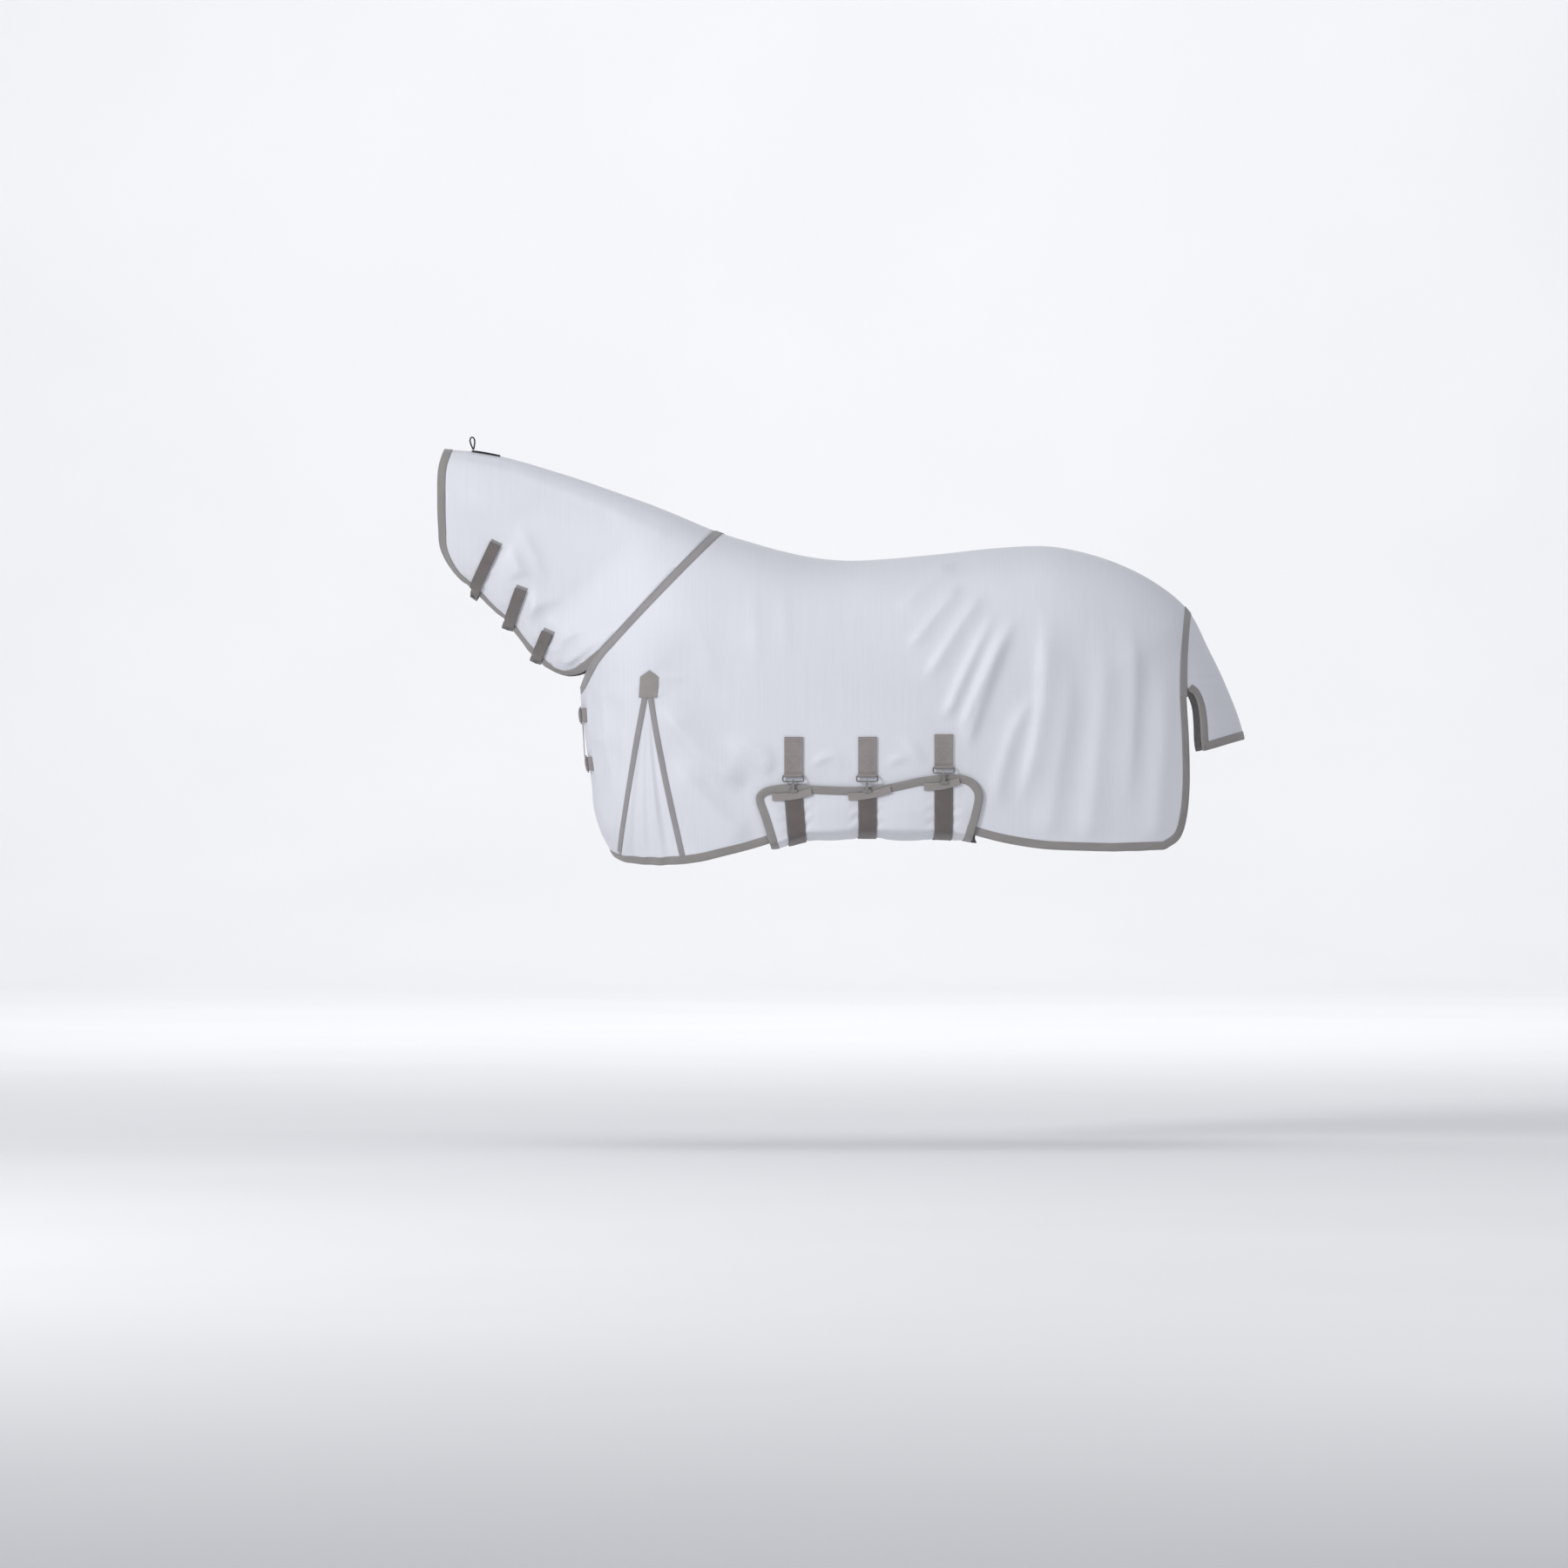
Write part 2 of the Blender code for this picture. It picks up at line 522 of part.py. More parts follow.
def hook_meshes(place, eye_down, eye_out):
    """A hook that swings on a frame's lower bar: its eye, and a T-shaped plate outside the flap."""
    angles = np.linspace(0, 2 * math.pi, 10, endpoint=False)
    eye = [place(0, eye_down + EYE_RADIUS * math.sin(a), eye_out + EYE_RADIUS * math.cos(a)) for a in angles]
    wire = ring(eye, EYE_WIRE, place.along, 6)
    top, bottom = eye_down + EYE_RADIUS - 0.0010, eye_down + HOOK_LENGTH
    out = eye_out + EYE_RADIUS - 0.0010
    outline = [(-0.004, top - 0.003), (0.004, top - 0.003), (0.004, bottom - 0.008), (0.011, bottom - 0.008)]
    outline += [(0.011, bottom - 0.002), (0.007, bottom), (-0.007, bottom), (-0.011, bottom - 0.002)]
    outline += [(-0.011, bottom - 0.008), (-0.004, bottom - 0.008)]
    n = len(outline)
    vertices = [place(u, v, out + w) for w in (-PLATE / 2, PLATE / 2) for u, v in outline]
    faces = [tuple(range(n)), tuple(range(2 * n - 1, n - 1, -1))]
    faces += [(i, (i + 1) % n, n + (i + 1) % n, n + i) for i in range(n)]
    return wire, (vertices, faces)


def joined(name, first, others, finish):
    """One solid from several overlapping ones."""
    made = add(name, *first, finish)
    for k, other in enumerate(others):
        boolean(made, "UNION", helper(add(f"{name}_joined_{k}", *other)))
    return made


def down_to(hem, line):
    """The part of a downward line above the hem, ended on the hem."""
    line = smooth(line, 2)
    above = line[[height_at(hem, x) + 0.004 < z for x, z in line]]
    x = above[-1][0] + (line[-1][0] - line[-2][0]) * 0.2
    return np.vstack([above, (x, height_at(hem, x))])


def cloth_panels(body, neck, cloth):
    hem, rear, front_leg, rear_leg = smooth(HEM, 2), smooth(REAR_EDGE, 2), GUSSET_FRONT, GUSSET_REAR
    above = np.array([(hem[-1][0] - 0.4, hem[-1][1]), (-0.9, 0.5), (rear[0][0] + 0.2, 0.5)])
    front_leg, rear_leg = (down_to(hem, line) for line in (front_leg, rear_leg))
    behind = hem[hem[:, 0] > rear_leg[-1][0] + 0.002]
    ahead = hem[hem[:, 0] < front_leg[-1][0] - 0.002]
    body_outline = np.vstack([rear, behind, rear_leg[::-1], front_leg[1:], ahead, above])
    between = hem[(hem[:, 0] < rear_leg[-1][0] - 0.003) & (hem[:, 0] > front_leg[-1][0] + 0.003)]
    front, back = front_leg[1:] + (1.5 * SEAM_GAP, 0), rear_leg[1:] - (1.5 * SEAM_GAP, 0)
    gusset_outline = np.vstack([front, between[::-1], back[::-1]])
    seam_back = SHOULDER_SEAM + 3 * SEAM_GAP * np.array([-1, 1]) / math.sqrt(2)
    neck_outline = np.vstack([NECK_EDGE[:-1], seam_back[::-1], [(0.1, 0.5), (-0.6, 0.5)]])
    for side, end in ((-1, "left"), (1, "right")):
        cut_piece(f"body_panel_{end}", body.layer(0, CLOTH, side), body_outline, cloth)
        cut_piece(f"gusset_{end}", body.layer(0, CLOTH, side), gusset_outline, cloth)
        cut_piece(f"neck_panel_{end}", neck.layer(0, CLOTH, side), neck_outline, cloth)


def gusset_binding_outline():
    """The tape over both sides of the gusset's seam, down to the hem binding."""
    hem = smooth(HEM)
    outside, inside = GUSSET_BINDING_WIDTH * 0.75, GUSSET_BINDING_WIDTH * 0.25
    front, rear = smooth(GUSSET_FRONT, 2), smooth(GUSSET_REAR, 2)
    apex = front[0]
    outer = [front[:0:-1] - (outside, 0), [apex + (0, 0.004)], rear[1:] + (outside, 0)]
    inner = [rear[:1:-1] - (inside, 0), [apex - (0, 0.040)], front[2:] + (inside, 0)]
    outline = np.vstack([*outer, *inner])
    floor = [height_at(hem, x) + BINDING_WIDTH * 1.25 for x in outline[:, 0]]
    outline[:, 1] = np.maximum(outline[:, 1], floor)
    return outline


def bindings(body, neck, tape):
    hem, rear = smooth(HEM, 3), smooth(REAR_EDGE, 2)
    foot = int(np.argmin(np.linalg.norm(rear - REAR_EDGE[TAIL_SEAM_FOOT], axis=1)))
    low, high = CLOTH + LAYER_GAP, CLOTH + LAYER_GAP + TAPE
    hem_path = np.vstack([rear[foot + 1 :], hem[1::2]])
    seam_path = np.vstack([SHOULDER_SEAM, NECKLINE])
    for side, end in ((-1, "left"), (1, "right")):
        tape_layer = body.layer(low, high, side)
        upper = body.layer(high + LAYER_GAP, high + LAYER_GAP + TAPE, side)
        cut_piece(f"hem_binding_{end}", tape_layer, ribbon(hem_path, BINDING_LIP, BINDING_WIDTH), tape)
        cut_piece(f"tail_seam_binding_{end}", tape_layer, ribbon(rear[: foot + 1], 0, BINDING_WIDTH), tape)
        cut_piece(f"shoulder_binding_{end}", tape_layer, ribbon(seam_path, BINDING_WIDTH, 0), tape)
        cut_piece(f"gusset_binding_{end}", tape_layer, gusset_binding_outline(), tape)
        cut_piece(f"gusset_patch_{end}", upper, GUSSET_PATCH, tape)
        neck_edge = ribbon(NECK_EDGE[1:-4:3], BINDING_WIDTH, BINDING_LIP)
        cut_piece(f"neck_binding_{end}", neck.layer(low, high, side), neck_edge, tape)


def tail_flap(tail, cloth, tape):
    low, high = CLOTH + LAYER_GAP, CLOTH + LAYER_GAP + TAPE
    pivot = (TAIL_FLAP_EDGE[0][0], 0, TAIL_FLAP_EDGE[0][1])
    set_origin(add("tail_flap", *tail.layer(0, CLOTH), cloth), pivot)
    path = np.vstack([TAIL_FLAP_EDGE[TAIL_SEAM_FOOT:-2], TAIL_FLAP_CORNER, TAIL_FLAP_HEM_END])
    band = cut_piece("tail_flap_binding", tail.layer(low, high), ribbon(path, BINDING_WIDTH, 0.008), tape)
    set_origin(band, pivot)


def belly_pivot(body):
    """The hinge line of the belly flap: outside its sewn edge on the off side, where its straps fold."""
    x = np.linspace(BELLY_FLAP[:, 0].min(), BELLY_FLAP[:, 0].max(), 30)
    y = max(body.at(q, BELLY_FLAP_SEAM_Z, 1)[1] for q in x) + CLOTH + SEWN_CLEARANCE + 3 * TAPE + WEBBING
    return np.array([(x[0] + x[-1]) / 2, y, BELLY_FLAP_SEAM_Z])


def belly_flap(body, belly, cloth, tape, webbing):
    low, high = CLOTH + LAYER_GAP, CLOTH + LAYER_GAP + TAPE
    web_low, web_high = high + LAYER_GAP, high + LAYER_GAP + WEBBING
    guard_low = web_high + LAYER_GAP
    above = beam((-0.5, BELLY_FLAP_SEAM_Z + 0.1), (1.5, BELLY_FLAP_SEAM_Z + 0.1), 0.1)
    off_side = prism("belly_flap_top", above, (0, 0.9))
    pivot = belly_pivot(body)

    def swinging(name, layer, outline, finish, y_range=(-0.9, 0.9)):
        made = cut_piece(name, layer, outline, finish, y_range)
        return set_origin(boolean(made, "DIFFERENCE", off_side), pivot)

    swinging("belly_flap", belly.layer(0, CLOTH), BELLY_FLAP, cloth)
    band = ribbon(BELLY_FLAP[1:-1:2], 0.0, BINDING_WIDTH)
    swinging("belly_flap_binding", belly.layer(low, high), band, tape)
    half = SURCINGLE_WIDTH / 2
    for i, (fold, lean, guard) in enumerate(zip(SURCINGLE_FOLDS, BELLY_STRAP_LEAN, GUARDS)):
        x, top = fold[0], guard[:, 1].mean() + 0.004
        outline = np.array([(x - half, top), (x + half, top), (x + half + lean, -1), (x - half + lean, -1)])
        swinging(f"belly_strap_{i + 1}", belly.layer(web_low, web_high), outline, webbing)
        bar = beam(*guard, GUARD_HEIGHT / 2)
        swinging(f"hook_guard_{i + 1}", belly.layer(guard_low, guard_low + TAPE), bar, tape, (-0.9, 0))
    left, right = BELLY_FLAP[:, 0].min(), BELLY_FLAP[:, 0].max()
    level = BELLY_FLAP_SEAM_Z + SEAM_GAP + BINDING_WIDTH / 2
    strip = beam((left + 0.004, level), (right - 0.004, level), BINDING_WIDTH / 2)
    seam_layer = body.layer(low, CLOTH + SEWN_CLEARANCE + CLOTH, 1)
    cut_piece("belly_flap_seam", seam_layer, strip, tape, (0, 0.9))


def surcingles(body, webbing, metal):
    half = SURCINGLE_WIDTH / 2
    low = CLOTH + LAYER_GAP
    for i, ((x, top), (_, z)) in enumerate(zip(SURCINGLE_TOPS, SURCINGLE_FOLDS)):
        place = surcingle_place(body, i)
        outline = np.array([(x - half, top), (x + half, top), (x + half, z + 0.002), (x - half, z + 0.002)])
        layer = body.layer(low, low + 2 * WEBBING + 0.0006)
        add_fold(cut_piece(f"surcingle_tab_{i + 1}", layer, outline, webbing), place, SURCINGLE_WIDTH)
        set_origin(add(f"buckle_frame_{i + 1}", *frame_mesh(place, FRAME_WIDTH), metal), place.origin)
        eye, plate = hook_meshes(place, FRAME_HEIGHT, HOOK_PIVOT_OUT)
        set_origin(joined(f"hook_{i + 1}", plate, [eye], metal), place(0, FRAME_HEIGHT, HOOK_PIVOT_OUT))


def strap_row(neck, at, down, side=-1):
    """Six points across a neck strap, three on its inside and three on its outside."""
    ahead = np.array([-down[1], down[0]])
    middle = CLOTH + STRAP_STANDOFF
    places = [Place(neck, *(at + ahead * u * NECK_STRAP_WIDTH / 2), 0, side, down) for u in (-1, 0, 1)]
    low, high = middle - NECK_STRAP_THICKNESS / 2, middle + NECK_STRAP_THICKNESS / 2
    return np.array([p(0, 0, low) for p in places] + [p(0, 0, high) for p in places[::-1]])


def neck_strap_mesh(neck, tip, edge):
    """A neck strap from its near-side tip, under the throat, to its hinge by the sewn end on the off side."""
    down = edge - tip
    length = np.linalg.norm(down)
    down = down / length
    shares = np.sin(np.linspace(0, math.pi / 2, 9))  # crowded towards the edge, where the cover turns under
    near = [strap_row(neck, tip + down * d, down) for d in length * shares]
    a, b = near[-1], strap_row(neck, edge, down, 1)
    dip = np.array([NECK_STRAP_DIP] * 3 + [NECK_STRAP_DIP + NECK_STRAP_THICKNESS] * 3)[:, None]
    dip = dip * np.array([down[0], 0, down[1]])
    turns = np.linspace(0, math.pi, 7)[1:-1]
    under = [(a + b) / 2 + (a - b) / 2 * math.cos(t) + dip * math.sin(t) for t in turns]
    rows = [*near, *under, b]
    faces = [
        (i * 6 + j, i * 6 + (j + 1) % 6, (i + 1) * 6 + (j + 1) % 6, (i + 1) * 6 + j)
        for i in range(len(rows) - 1)
        for j in range(6)
    ]
    last = 6 * len(rows)
    faces += [tuple(range(6))[::-1], tuple(range(last - 6, last))]
    pivot = b.mean(0) + NECK_STRAP_THICKNESS / 2 * np.array([down[0], 0, down[1]])
    return (np.concatenate(rows), faces), pivot


def neck_straps(neck, webbing, tape):
    low = CLOTH + LAYER_GAP
    for i, (tip, edge) in enumerate(NECK_STRAPS):
        down = (edge - tip) / np.linalg.norm(edge - tip)
        mesh, pivot = neck_strap_mesh(neck, tip, edge)
        set_origin(add(f"neck_strap_{i + 1}", *mesh, webbing), pivot)
        ends = (tip - down * 0.008, tip + down * (NECK_PATCH_LENGTH - 0.008))
        outline = beam(*ends, NECK_STRAP_WIDTH / 2)
        cut_piece(f"neck_strap_patch_{i + 1}", neck.layer(low, low + TAPE), outline, tape, (-0.9, 0))
        ends = (edge - down * 0.0007, edge - down * NECK_STRAP_ANCHOR)
        outline = beam(*ends, NECK_STRAP_WIDTH / 2)
        layer = neck.layer(low + TAPE + LAYER_GAP, CLOTH + STRAP_STANDOFF, 1)
        cut_piece(f"neck_strap_anchor_{i + 1}", layer, outline, webbing, (0, 0.9))


def chest_point(body, y, z, lift):
    """A point this far outside the breast, on the level through z."""
    step = 0.003

    def front(q):
        hit = body.tree.ray_cast(Vector((-2, -max(abs(q), SEAM_GAP), z)), Vector((1, 0, 0)))[0]
        return hit.x

    tangent = np.array([front(y + step) - front(y - step), 2 * step])
    tangent /= np.linalg.norm(tangent)
    return np.array([front(y) - tangent[1] * lift, y + tangent[0] * lift, z])


def chest_axes(body, z):
    """Up along the breast, and straight out of it."""
    up = chest_point(body, 0, z + 0.02, 0) - chest_point(body, 0, z - 0.02, 0)
    up[1] = 0
    up /= np.linalg.norm(up)
    return up, np.cross(up, (0, 1, 0))


CHEST_LIFT = CLOTH + STRAP_STANDOFF
CHEST_SEWN_LIFT = CLOTH + LAYER_GAP + WEBBING / 2
CHEST_FRAME_WIDTH = 0.022  # between the centres of the two upright bars


def chest_strip(body, z, y_free, y_sewn, lift):
    """A chest strap from its free end, at a lift, to its sewn end on the cloth."""
    up, _ = chest_axes(body, z)
    share = np.linspace(0, 1, 9)
    lifts = lift + (CHEST_SEWN_LIFT - lift) * np.clip((share - 0.2) / 0.6, 0, 1) ** 1.5
    path = np.array([chest_point(body, y, z, h) for y, h in zip(y_free + share * (y_sewn - y_free), lifts)])
    ahead = np.gradient(path, axis=0)
    ahead /= np.linalg.norm(ahead, axis=1, keepdims=True)
    rows = [(p, up, np.cross(up, t)) for p, t in zip(path, ahead)]
    return sweep(rows, rectangle(CHEST_STRAP_WIDTH, WEBBING))


class ChestPlace:
    """The upright line in a chest tab's fold. Its axes run up, towards the off side, and forward."""

    def __init__(self, body, z):
        self.along, self.out = chest_axes(body, z)
        self.down = np.array([0.0, 1.0, 0.0])
        reach = WIRE_RADIUS + BAR_CLEARANCE + WEBBING / 2
        self.origin = chest_point(body, CHEST_TAB_FOLD_Y, z, CHEST_LIFT) + self.out * reach

    def __call__(self, along_, down_, out_):
        return self.origin + along_ * self.along + down_ * self.down + out_ * self.out


CHEST_STRAP_LIFT = CHEST_LIFT + 0.0015


def chest_strap_pivot(body, z):
    """The upright hinge line of a chest strap, at its sewn end."""
    return chest_point(body, CHEST_STRAP_END_Y, z, CHEST_SEWN_LIFT + 0.002)


def chest_closures(body, webbing, metal):
    for z, end in zip(CHEST_LEVELS, ("upper", "lower")):
        place = ChestPlace(body, z)
        tab_strip = chest_strip(body, z, CHEST_TAB_FOLD_Y - 0.001, CHEST_TAB_END_Y, CHEST_LIFT)
        tab = add(f"chest_tab_{end}", *tab_strip, webbing)
        add_fold(tab, place, CHEST_STRAP_WIDTH)
        add(f"chest_buckle_{end}", *chest_frame(place), metal)
        pivot = chest_strap_pivot(body, z)
        strip = chest_strip(body, z, CHEST_STRAP_TIP_Y, CHEST_STRAP_END_Y, CHEST_STRAP_LIFT)
        set_origin(add(f"chest_strap_{end}", *strip, webbing), pivot)
        set_origin(add(f"chest_hook_{end}", *chest_hook(body, z), metal), pivot)
    z = CHEST_LEVELS[0]
    up, out = chest_axes(body, z)
    top = chest_point(body, CHEST_TAIL_Y, z, CHEST_STRAP_LIFT - 0.001)
    top = top - up * (CHEST_STRAP_WIDTH / 2 + 0.0030)
    rows = [(top - up * d, np.array([0.0, 1.0, 0.0]), out) for d in (-0.0022, CHEST_TAIL)]
    set_origin(add("chest_strap_tail", *sweep(rows, rectangle(0.020, WEBBING)), webbing), top)


def chest_frame(place):
    """A wire buckle frame with its near upright bar in the tab's fold."""
    width = CHEST_STRAP_WIDTH + 0.007
    loop = [place(u, CHEST_FRAME_WIDTH / 2 - v, 0) for u, v in rounded_loop(width, CHEST_FRAME_WIDTH, 0.004)]
    return ring(loop, WIRE_RADIUS, place.out)


def chest_hook(body, z):
    """A flat hook on the strap's tip, lying in front of the buckle."""
    up, out = chest_axes(body, z)
    base = chest_point(body, 0.0, z, CHEST_STRAP_LIFT) + out * (WEBBING + PLATE) / 2
    outline = [(-0.012, 0.016), (0.012, 0.016), (0.012, -0.006), (0.004, -0.008), (0.004, -0.020)]
    outline += [(-0.004, -0.020), (-0.004, -0.008), (-0.012, -0.006)]
    n = len(outline)
    across = np.array([0, 1.0, 0])
    vertices = [base + u * up + v * across + w * out for w in (-PLATE / 2, PLATE / 2) for u, v in outline]
    faces = [tuple(range(n)), tuple(range(2 * n - 1, n - 1, -1))]
    faces += [(i, (i + 1) % n, n + (i + 1) % n, n + i) for i in range(n)]
    return vertices, faces


def poll_strap(black):
    start, end = POLL_STRAP_FRONT_X, POLL_STRAP_FRONT_X + POLL_STRAP_LENGTH
    x = np.linspace(start, end, 5)
    crest = np.stack([x, np.interp(x, TOPLINE[:60, 0], TOPLINE[:60, 1])], -1)
    ahead = np.gradient(crest, axis=0)
    ahead /= np.linalg.norm(ahead, axis=1, keepdims=True)
    ups = np.stack([-ahead[:, 1], np.zeros(5), ahead[:, 0]], -1)
    points = np.stack([crest[:, 0], np.zeros(5), crest[:, 1]], -1)
    lift = CLOTH + LAYER_GAP
    across = np.array([0, 1.0, 0])
    rows = [(p + u * (lift + POLL_STRAP_THICKNESS / 2), across, u) for p, u in zip(points, ups)]
    add("poll_strap", *sweep(rows, rectangle(POLL_STRAP_WIDTH, POLL_STRAP_THICKNESS)), black)
    up, rear = ups[0], np.array([ahead[0][0], 0, ahead[0][1]])
    foot = points[0] + rear * 0.004 + up * (lift + POLL_STRAP_THICKNESS + LAYER_GAP + POLL_CORD_RADIUS)
    lean = Matrix.Rotation(math.radians(-14), 3, Vector((0, 1, 0)))
    loop = []
    for a in np.linspace(0, 2 * math.pi, 12, endpoint=False):
        pinch = 0.62 + 0.38 * math.sin(a)  # narrower at its foot
        wide, high = POLL_LOOP_WIDTH / 2 * pinch * math.cos(a), POLL_LOOP_HEIGHT / 2 * (1 + math.sin(a))
        loop.append(np.array(lean @ Vector(rear * wide + up * high)) + foot)
    set_origin(add("poll_loop", *ring(loop, POLL_CORD_RADIUS, (0, 1, 0)), black), foot)


def main():
    for old in list(bpy.data.objects):
        bpy.data.objects.remove(old)
    cloth = material("cloth", CLOTH_COLOUR, 0.75)
    tape = material("binding", TAPE_COLOUR, 0.85)
    webbing = material("webbing", WEBBING_COLOUR, 0.80)
    black = material("elastic", BLACK_COLOUR, 0.70)
    metal = material("metal", METAL_COLOUR, 0.35, 1.0)
    body, neck = body_form(), neck_form()
    cloth_panels(body, neck, cloth)
    bindings(body, neck, tape)
    tail_flap(tail_form(), cloth, tape)
    belly_flap(body, belly_form(body), cloth, tape, webbing)
    surcingles(body, webbing, metal)
    neck_straps(neck, webbing, tape)
    chest_closures(body, webbing, metal)
    poll_strap(black)


if __name__ == "__main__":
    main()
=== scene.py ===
"""Fly sheet for a horse: the finished cloth, tapes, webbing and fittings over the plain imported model.

Metres, +Z up. The horse faces -X and its near side is -Y. The origin is at the withers on the centre plane.
The cloth follows one form, given as a half width at each point of the side view. Its folds stand out of it.
"""

import logging
import math
from collections.abc import Sequence
from dataclasses import dataclass
from enum import Enum

import bmesh
import bpy
import numpy as np
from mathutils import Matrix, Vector
from mathutils.bvhtree import BVHTree
from mathutils.geometry import delaunay_2d_cdt
from mathutils.kdtree import KDTree


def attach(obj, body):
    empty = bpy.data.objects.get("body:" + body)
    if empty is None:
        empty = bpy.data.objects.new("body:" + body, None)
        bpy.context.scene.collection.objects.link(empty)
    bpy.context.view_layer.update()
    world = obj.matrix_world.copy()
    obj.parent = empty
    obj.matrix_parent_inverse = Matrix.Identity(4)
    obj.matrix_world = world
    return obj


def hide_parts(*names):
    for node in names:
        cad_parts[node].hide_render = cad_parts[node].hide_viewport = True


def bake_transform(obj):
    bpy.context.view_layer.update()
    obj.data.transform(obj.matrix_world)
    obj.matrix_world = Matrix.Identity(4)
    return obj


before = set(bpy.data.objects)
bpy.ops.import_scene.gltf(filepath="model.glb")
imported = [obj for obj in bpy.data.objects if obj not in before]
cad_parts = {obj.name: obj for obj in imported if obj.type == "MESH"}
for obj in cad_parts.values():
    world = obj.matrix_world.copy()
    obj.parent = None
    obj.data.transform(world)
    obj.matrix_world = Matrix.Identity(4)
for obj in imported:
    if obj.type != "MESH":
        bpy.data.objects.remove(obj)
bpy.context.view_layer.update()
log = logging.getLogger("fly_sheet")
Array = np.ndarray


# ---------------------------------------------------------------------------------------------------------
# Lines of the pattern, in the side view as (X, Z)
# ---------------------------------------------------------------------------------------------------------


def smooth(points: Sequence, per_span: int = 8) -> Array:
    """A smooth curve through side-view points.

    Args:
        points: the points it passes through.
        per_span: steps between two of them.

    Returns:
        The curve's points.
    """
    p = np.asarray(points, float)
    p = np.vstack([2 * p[0] - p[1], p, 2 * p[-1] - p[-2]])
    t = np.linspace(0, 1, per_span, endpoint=False)[:, None]
    spans = []
    for a, b, c, d in zip(p, p[1:], p[2:], p[3:]):
        spans.append(b + 0.5 * t * (c - a + t * (2 * a - 5 * b + 4 * c - d + t * (3 * (b - c) + d - a))))
    return np.vstack([*spans, p[-2]])


def lengths(line: Array) -> Array:
    """Distance along a line at each of its points."""
    return np.concatenate([[0], np.cumsum(np.linalg.norm(np.diff(line, axis=0), axis=1))])


def along(line: Array, share: Array) -> Array:
    """Points at shares of a line's length."""
    steps = lengths(line)
    reach = np.asarray(share) * steps[-1]
    return np.stack([np.interp(reach, steps, column) for column in line.T], -1)


def paced(line: Array, step: float) -> Array:
    """The same line with its points about a step apart."""
    count = max(2, int(math.ceil(lengths(line)[-1] / step)) + 1)
    return along(line, np.linspace(0, 1, count))


def span(line: Array, start: tuple, end: tuple) -> Array:
    """The stretch of a line between the points nearest to two given ones."""
    near = [int(np.argmin(np.linalg.norm(line - p, axis=1))) for p in (start, end)]
    return line[near[0] : near[1] + 1]


def height_at(line: Array, x: float) -> float:
    """A line's height at X. The line runs either way along X."""
    step = 1 if line[-1][0] > line[0][0] else -1
    return float(np.interp(x, *line[::step].T))


def signed_distance(line: Array, points: Array) -> tuple[Array, Array]:
    """How far points are from a line.

    Args:
        line: the line's points.
        points: the points to measure.

    Returns:
        The distance, positive on the line's left, and the share of its length at the nearest place.
    """
    a, b = line[:-1], line[1:]
    run = b - a
    p = points[:, None, :]
    t = np.clip(((p - a) * run).sum(-1) / (run**2).sum(-1), 0, 1)
    off = p - (a + t[..., None] * run)
    far = np.linalg.norm(off, axis=-1)
    best = far.argmin(1)
    row = np.arange(len(points))
    side = np.sign(run[best, 0] * off[row, best, 1] - run[best, 1] * off[row, best, 0])
    steps = lengths(line)
    place = (steps[best] + t[row, best] * np.diff(steps)[best]) / steps[-1]
    return far[row, best] * side, place


def eased(share: Array) -> Array:
    """A share cut to 0..1, with a soft start and end."""
    t = np.clip(share, 0, 1)
    return t * t * (3 - 2 * t)


def crowded(round_steps: int, round_share: float, flat_steps: int) -> Array:
    """Shares from 0 to 1 that crowd towards 0, where the form is round."""
    near = round_share * (1 - np.cos(np.linspace(0, math.pi / 2, round_steps + 1)))
    return np.concatenate([near, np.linspace(round_share, 1, flat_steps + 1)[1:]])


TOPLINE = smooth([
    (-0.860, 0.226), (-0.730, 0.224), (-0.600, 0.208), (-0.400, 0.151), (-0.165, 0.069), (0.000, 0.001),
    (0.118, -0.036), (0.248, -0.068), (0.380, -0.080), (0.560, -0.069), (0.780, -0.045), (0.930, -0.042),
    (1.074, -0.078), (1.200, -0.137), (1.296, -0.217), (1.350, -0.318), (1.400, -0.428), (1.442, -0.552),
    (1.458, -0.700), (1.455, -0.960),
])  # fmt: skip
FRONTLINE = smooth([
    (-0.880, 0.060), (-0.748, -0.085), (-0.655, -0.170), (-0.570, -0.254), (-0.507, -0.336),
    (-0.460, -0.380), (-0.420, -0.397), (-0.385, -0.407), (-0.367, -0.426), (-0.367, -0.460),
    (-0.361, -0.526), (-0.354, -0.573), (-0.340, -0.668), (-0.328, -0.762), (-0.314, -0.815),
    (-0.290, -0.866), (-0.262, -0.910), (-0.225, -0.965),
])  # fmt: skip
SHOULDER_SEAM = np.array([
    (0.012, 0.012), (-0.094, -0.097), (-0.189, -0.196), (-0.283, -0.297), (-0.307, -0.321),
])  # fmt: skip
NECKLINE = np.array([(-0.330, -0.349), (-0.350, -0.385), (-0.367, -0.426)])
NECK_EDGE = smooth([
    (-0.714, 0.260), (-0.722, 0.222), (-0.736, 0.165), (-0.737, 0.080), (-0.735, 0.007), (-0.731, -0.050),
    (-0.701, -0.108), (-0.649, -0.158), (-0.599, -0.207), (-0.553, -0.252), (-0.524, -0.288),
    (-0.494, -0.326), (-0.455, -0.362), (-0.422, -0.380), (-0.390, -0.379), (-0.352, -0.357),
    (-0.307, -0.321),
])  # fmt: skip
REAR_EDGE = np.array([
    (1.306, -0.190), (1.300, -0.219), (1.290, -0.275), (1.283, -0.361), (1.281, -0.455), (1.287, -0.573),
    (1.289, -0.691), (1.281, -0.780), (1.262, -0.838), (1.222, -0.868),
])  # fmt: skip
TAIL_SEAM_FOOT = 4  # the point of REAR_EDGE where the tail flap's seam ends
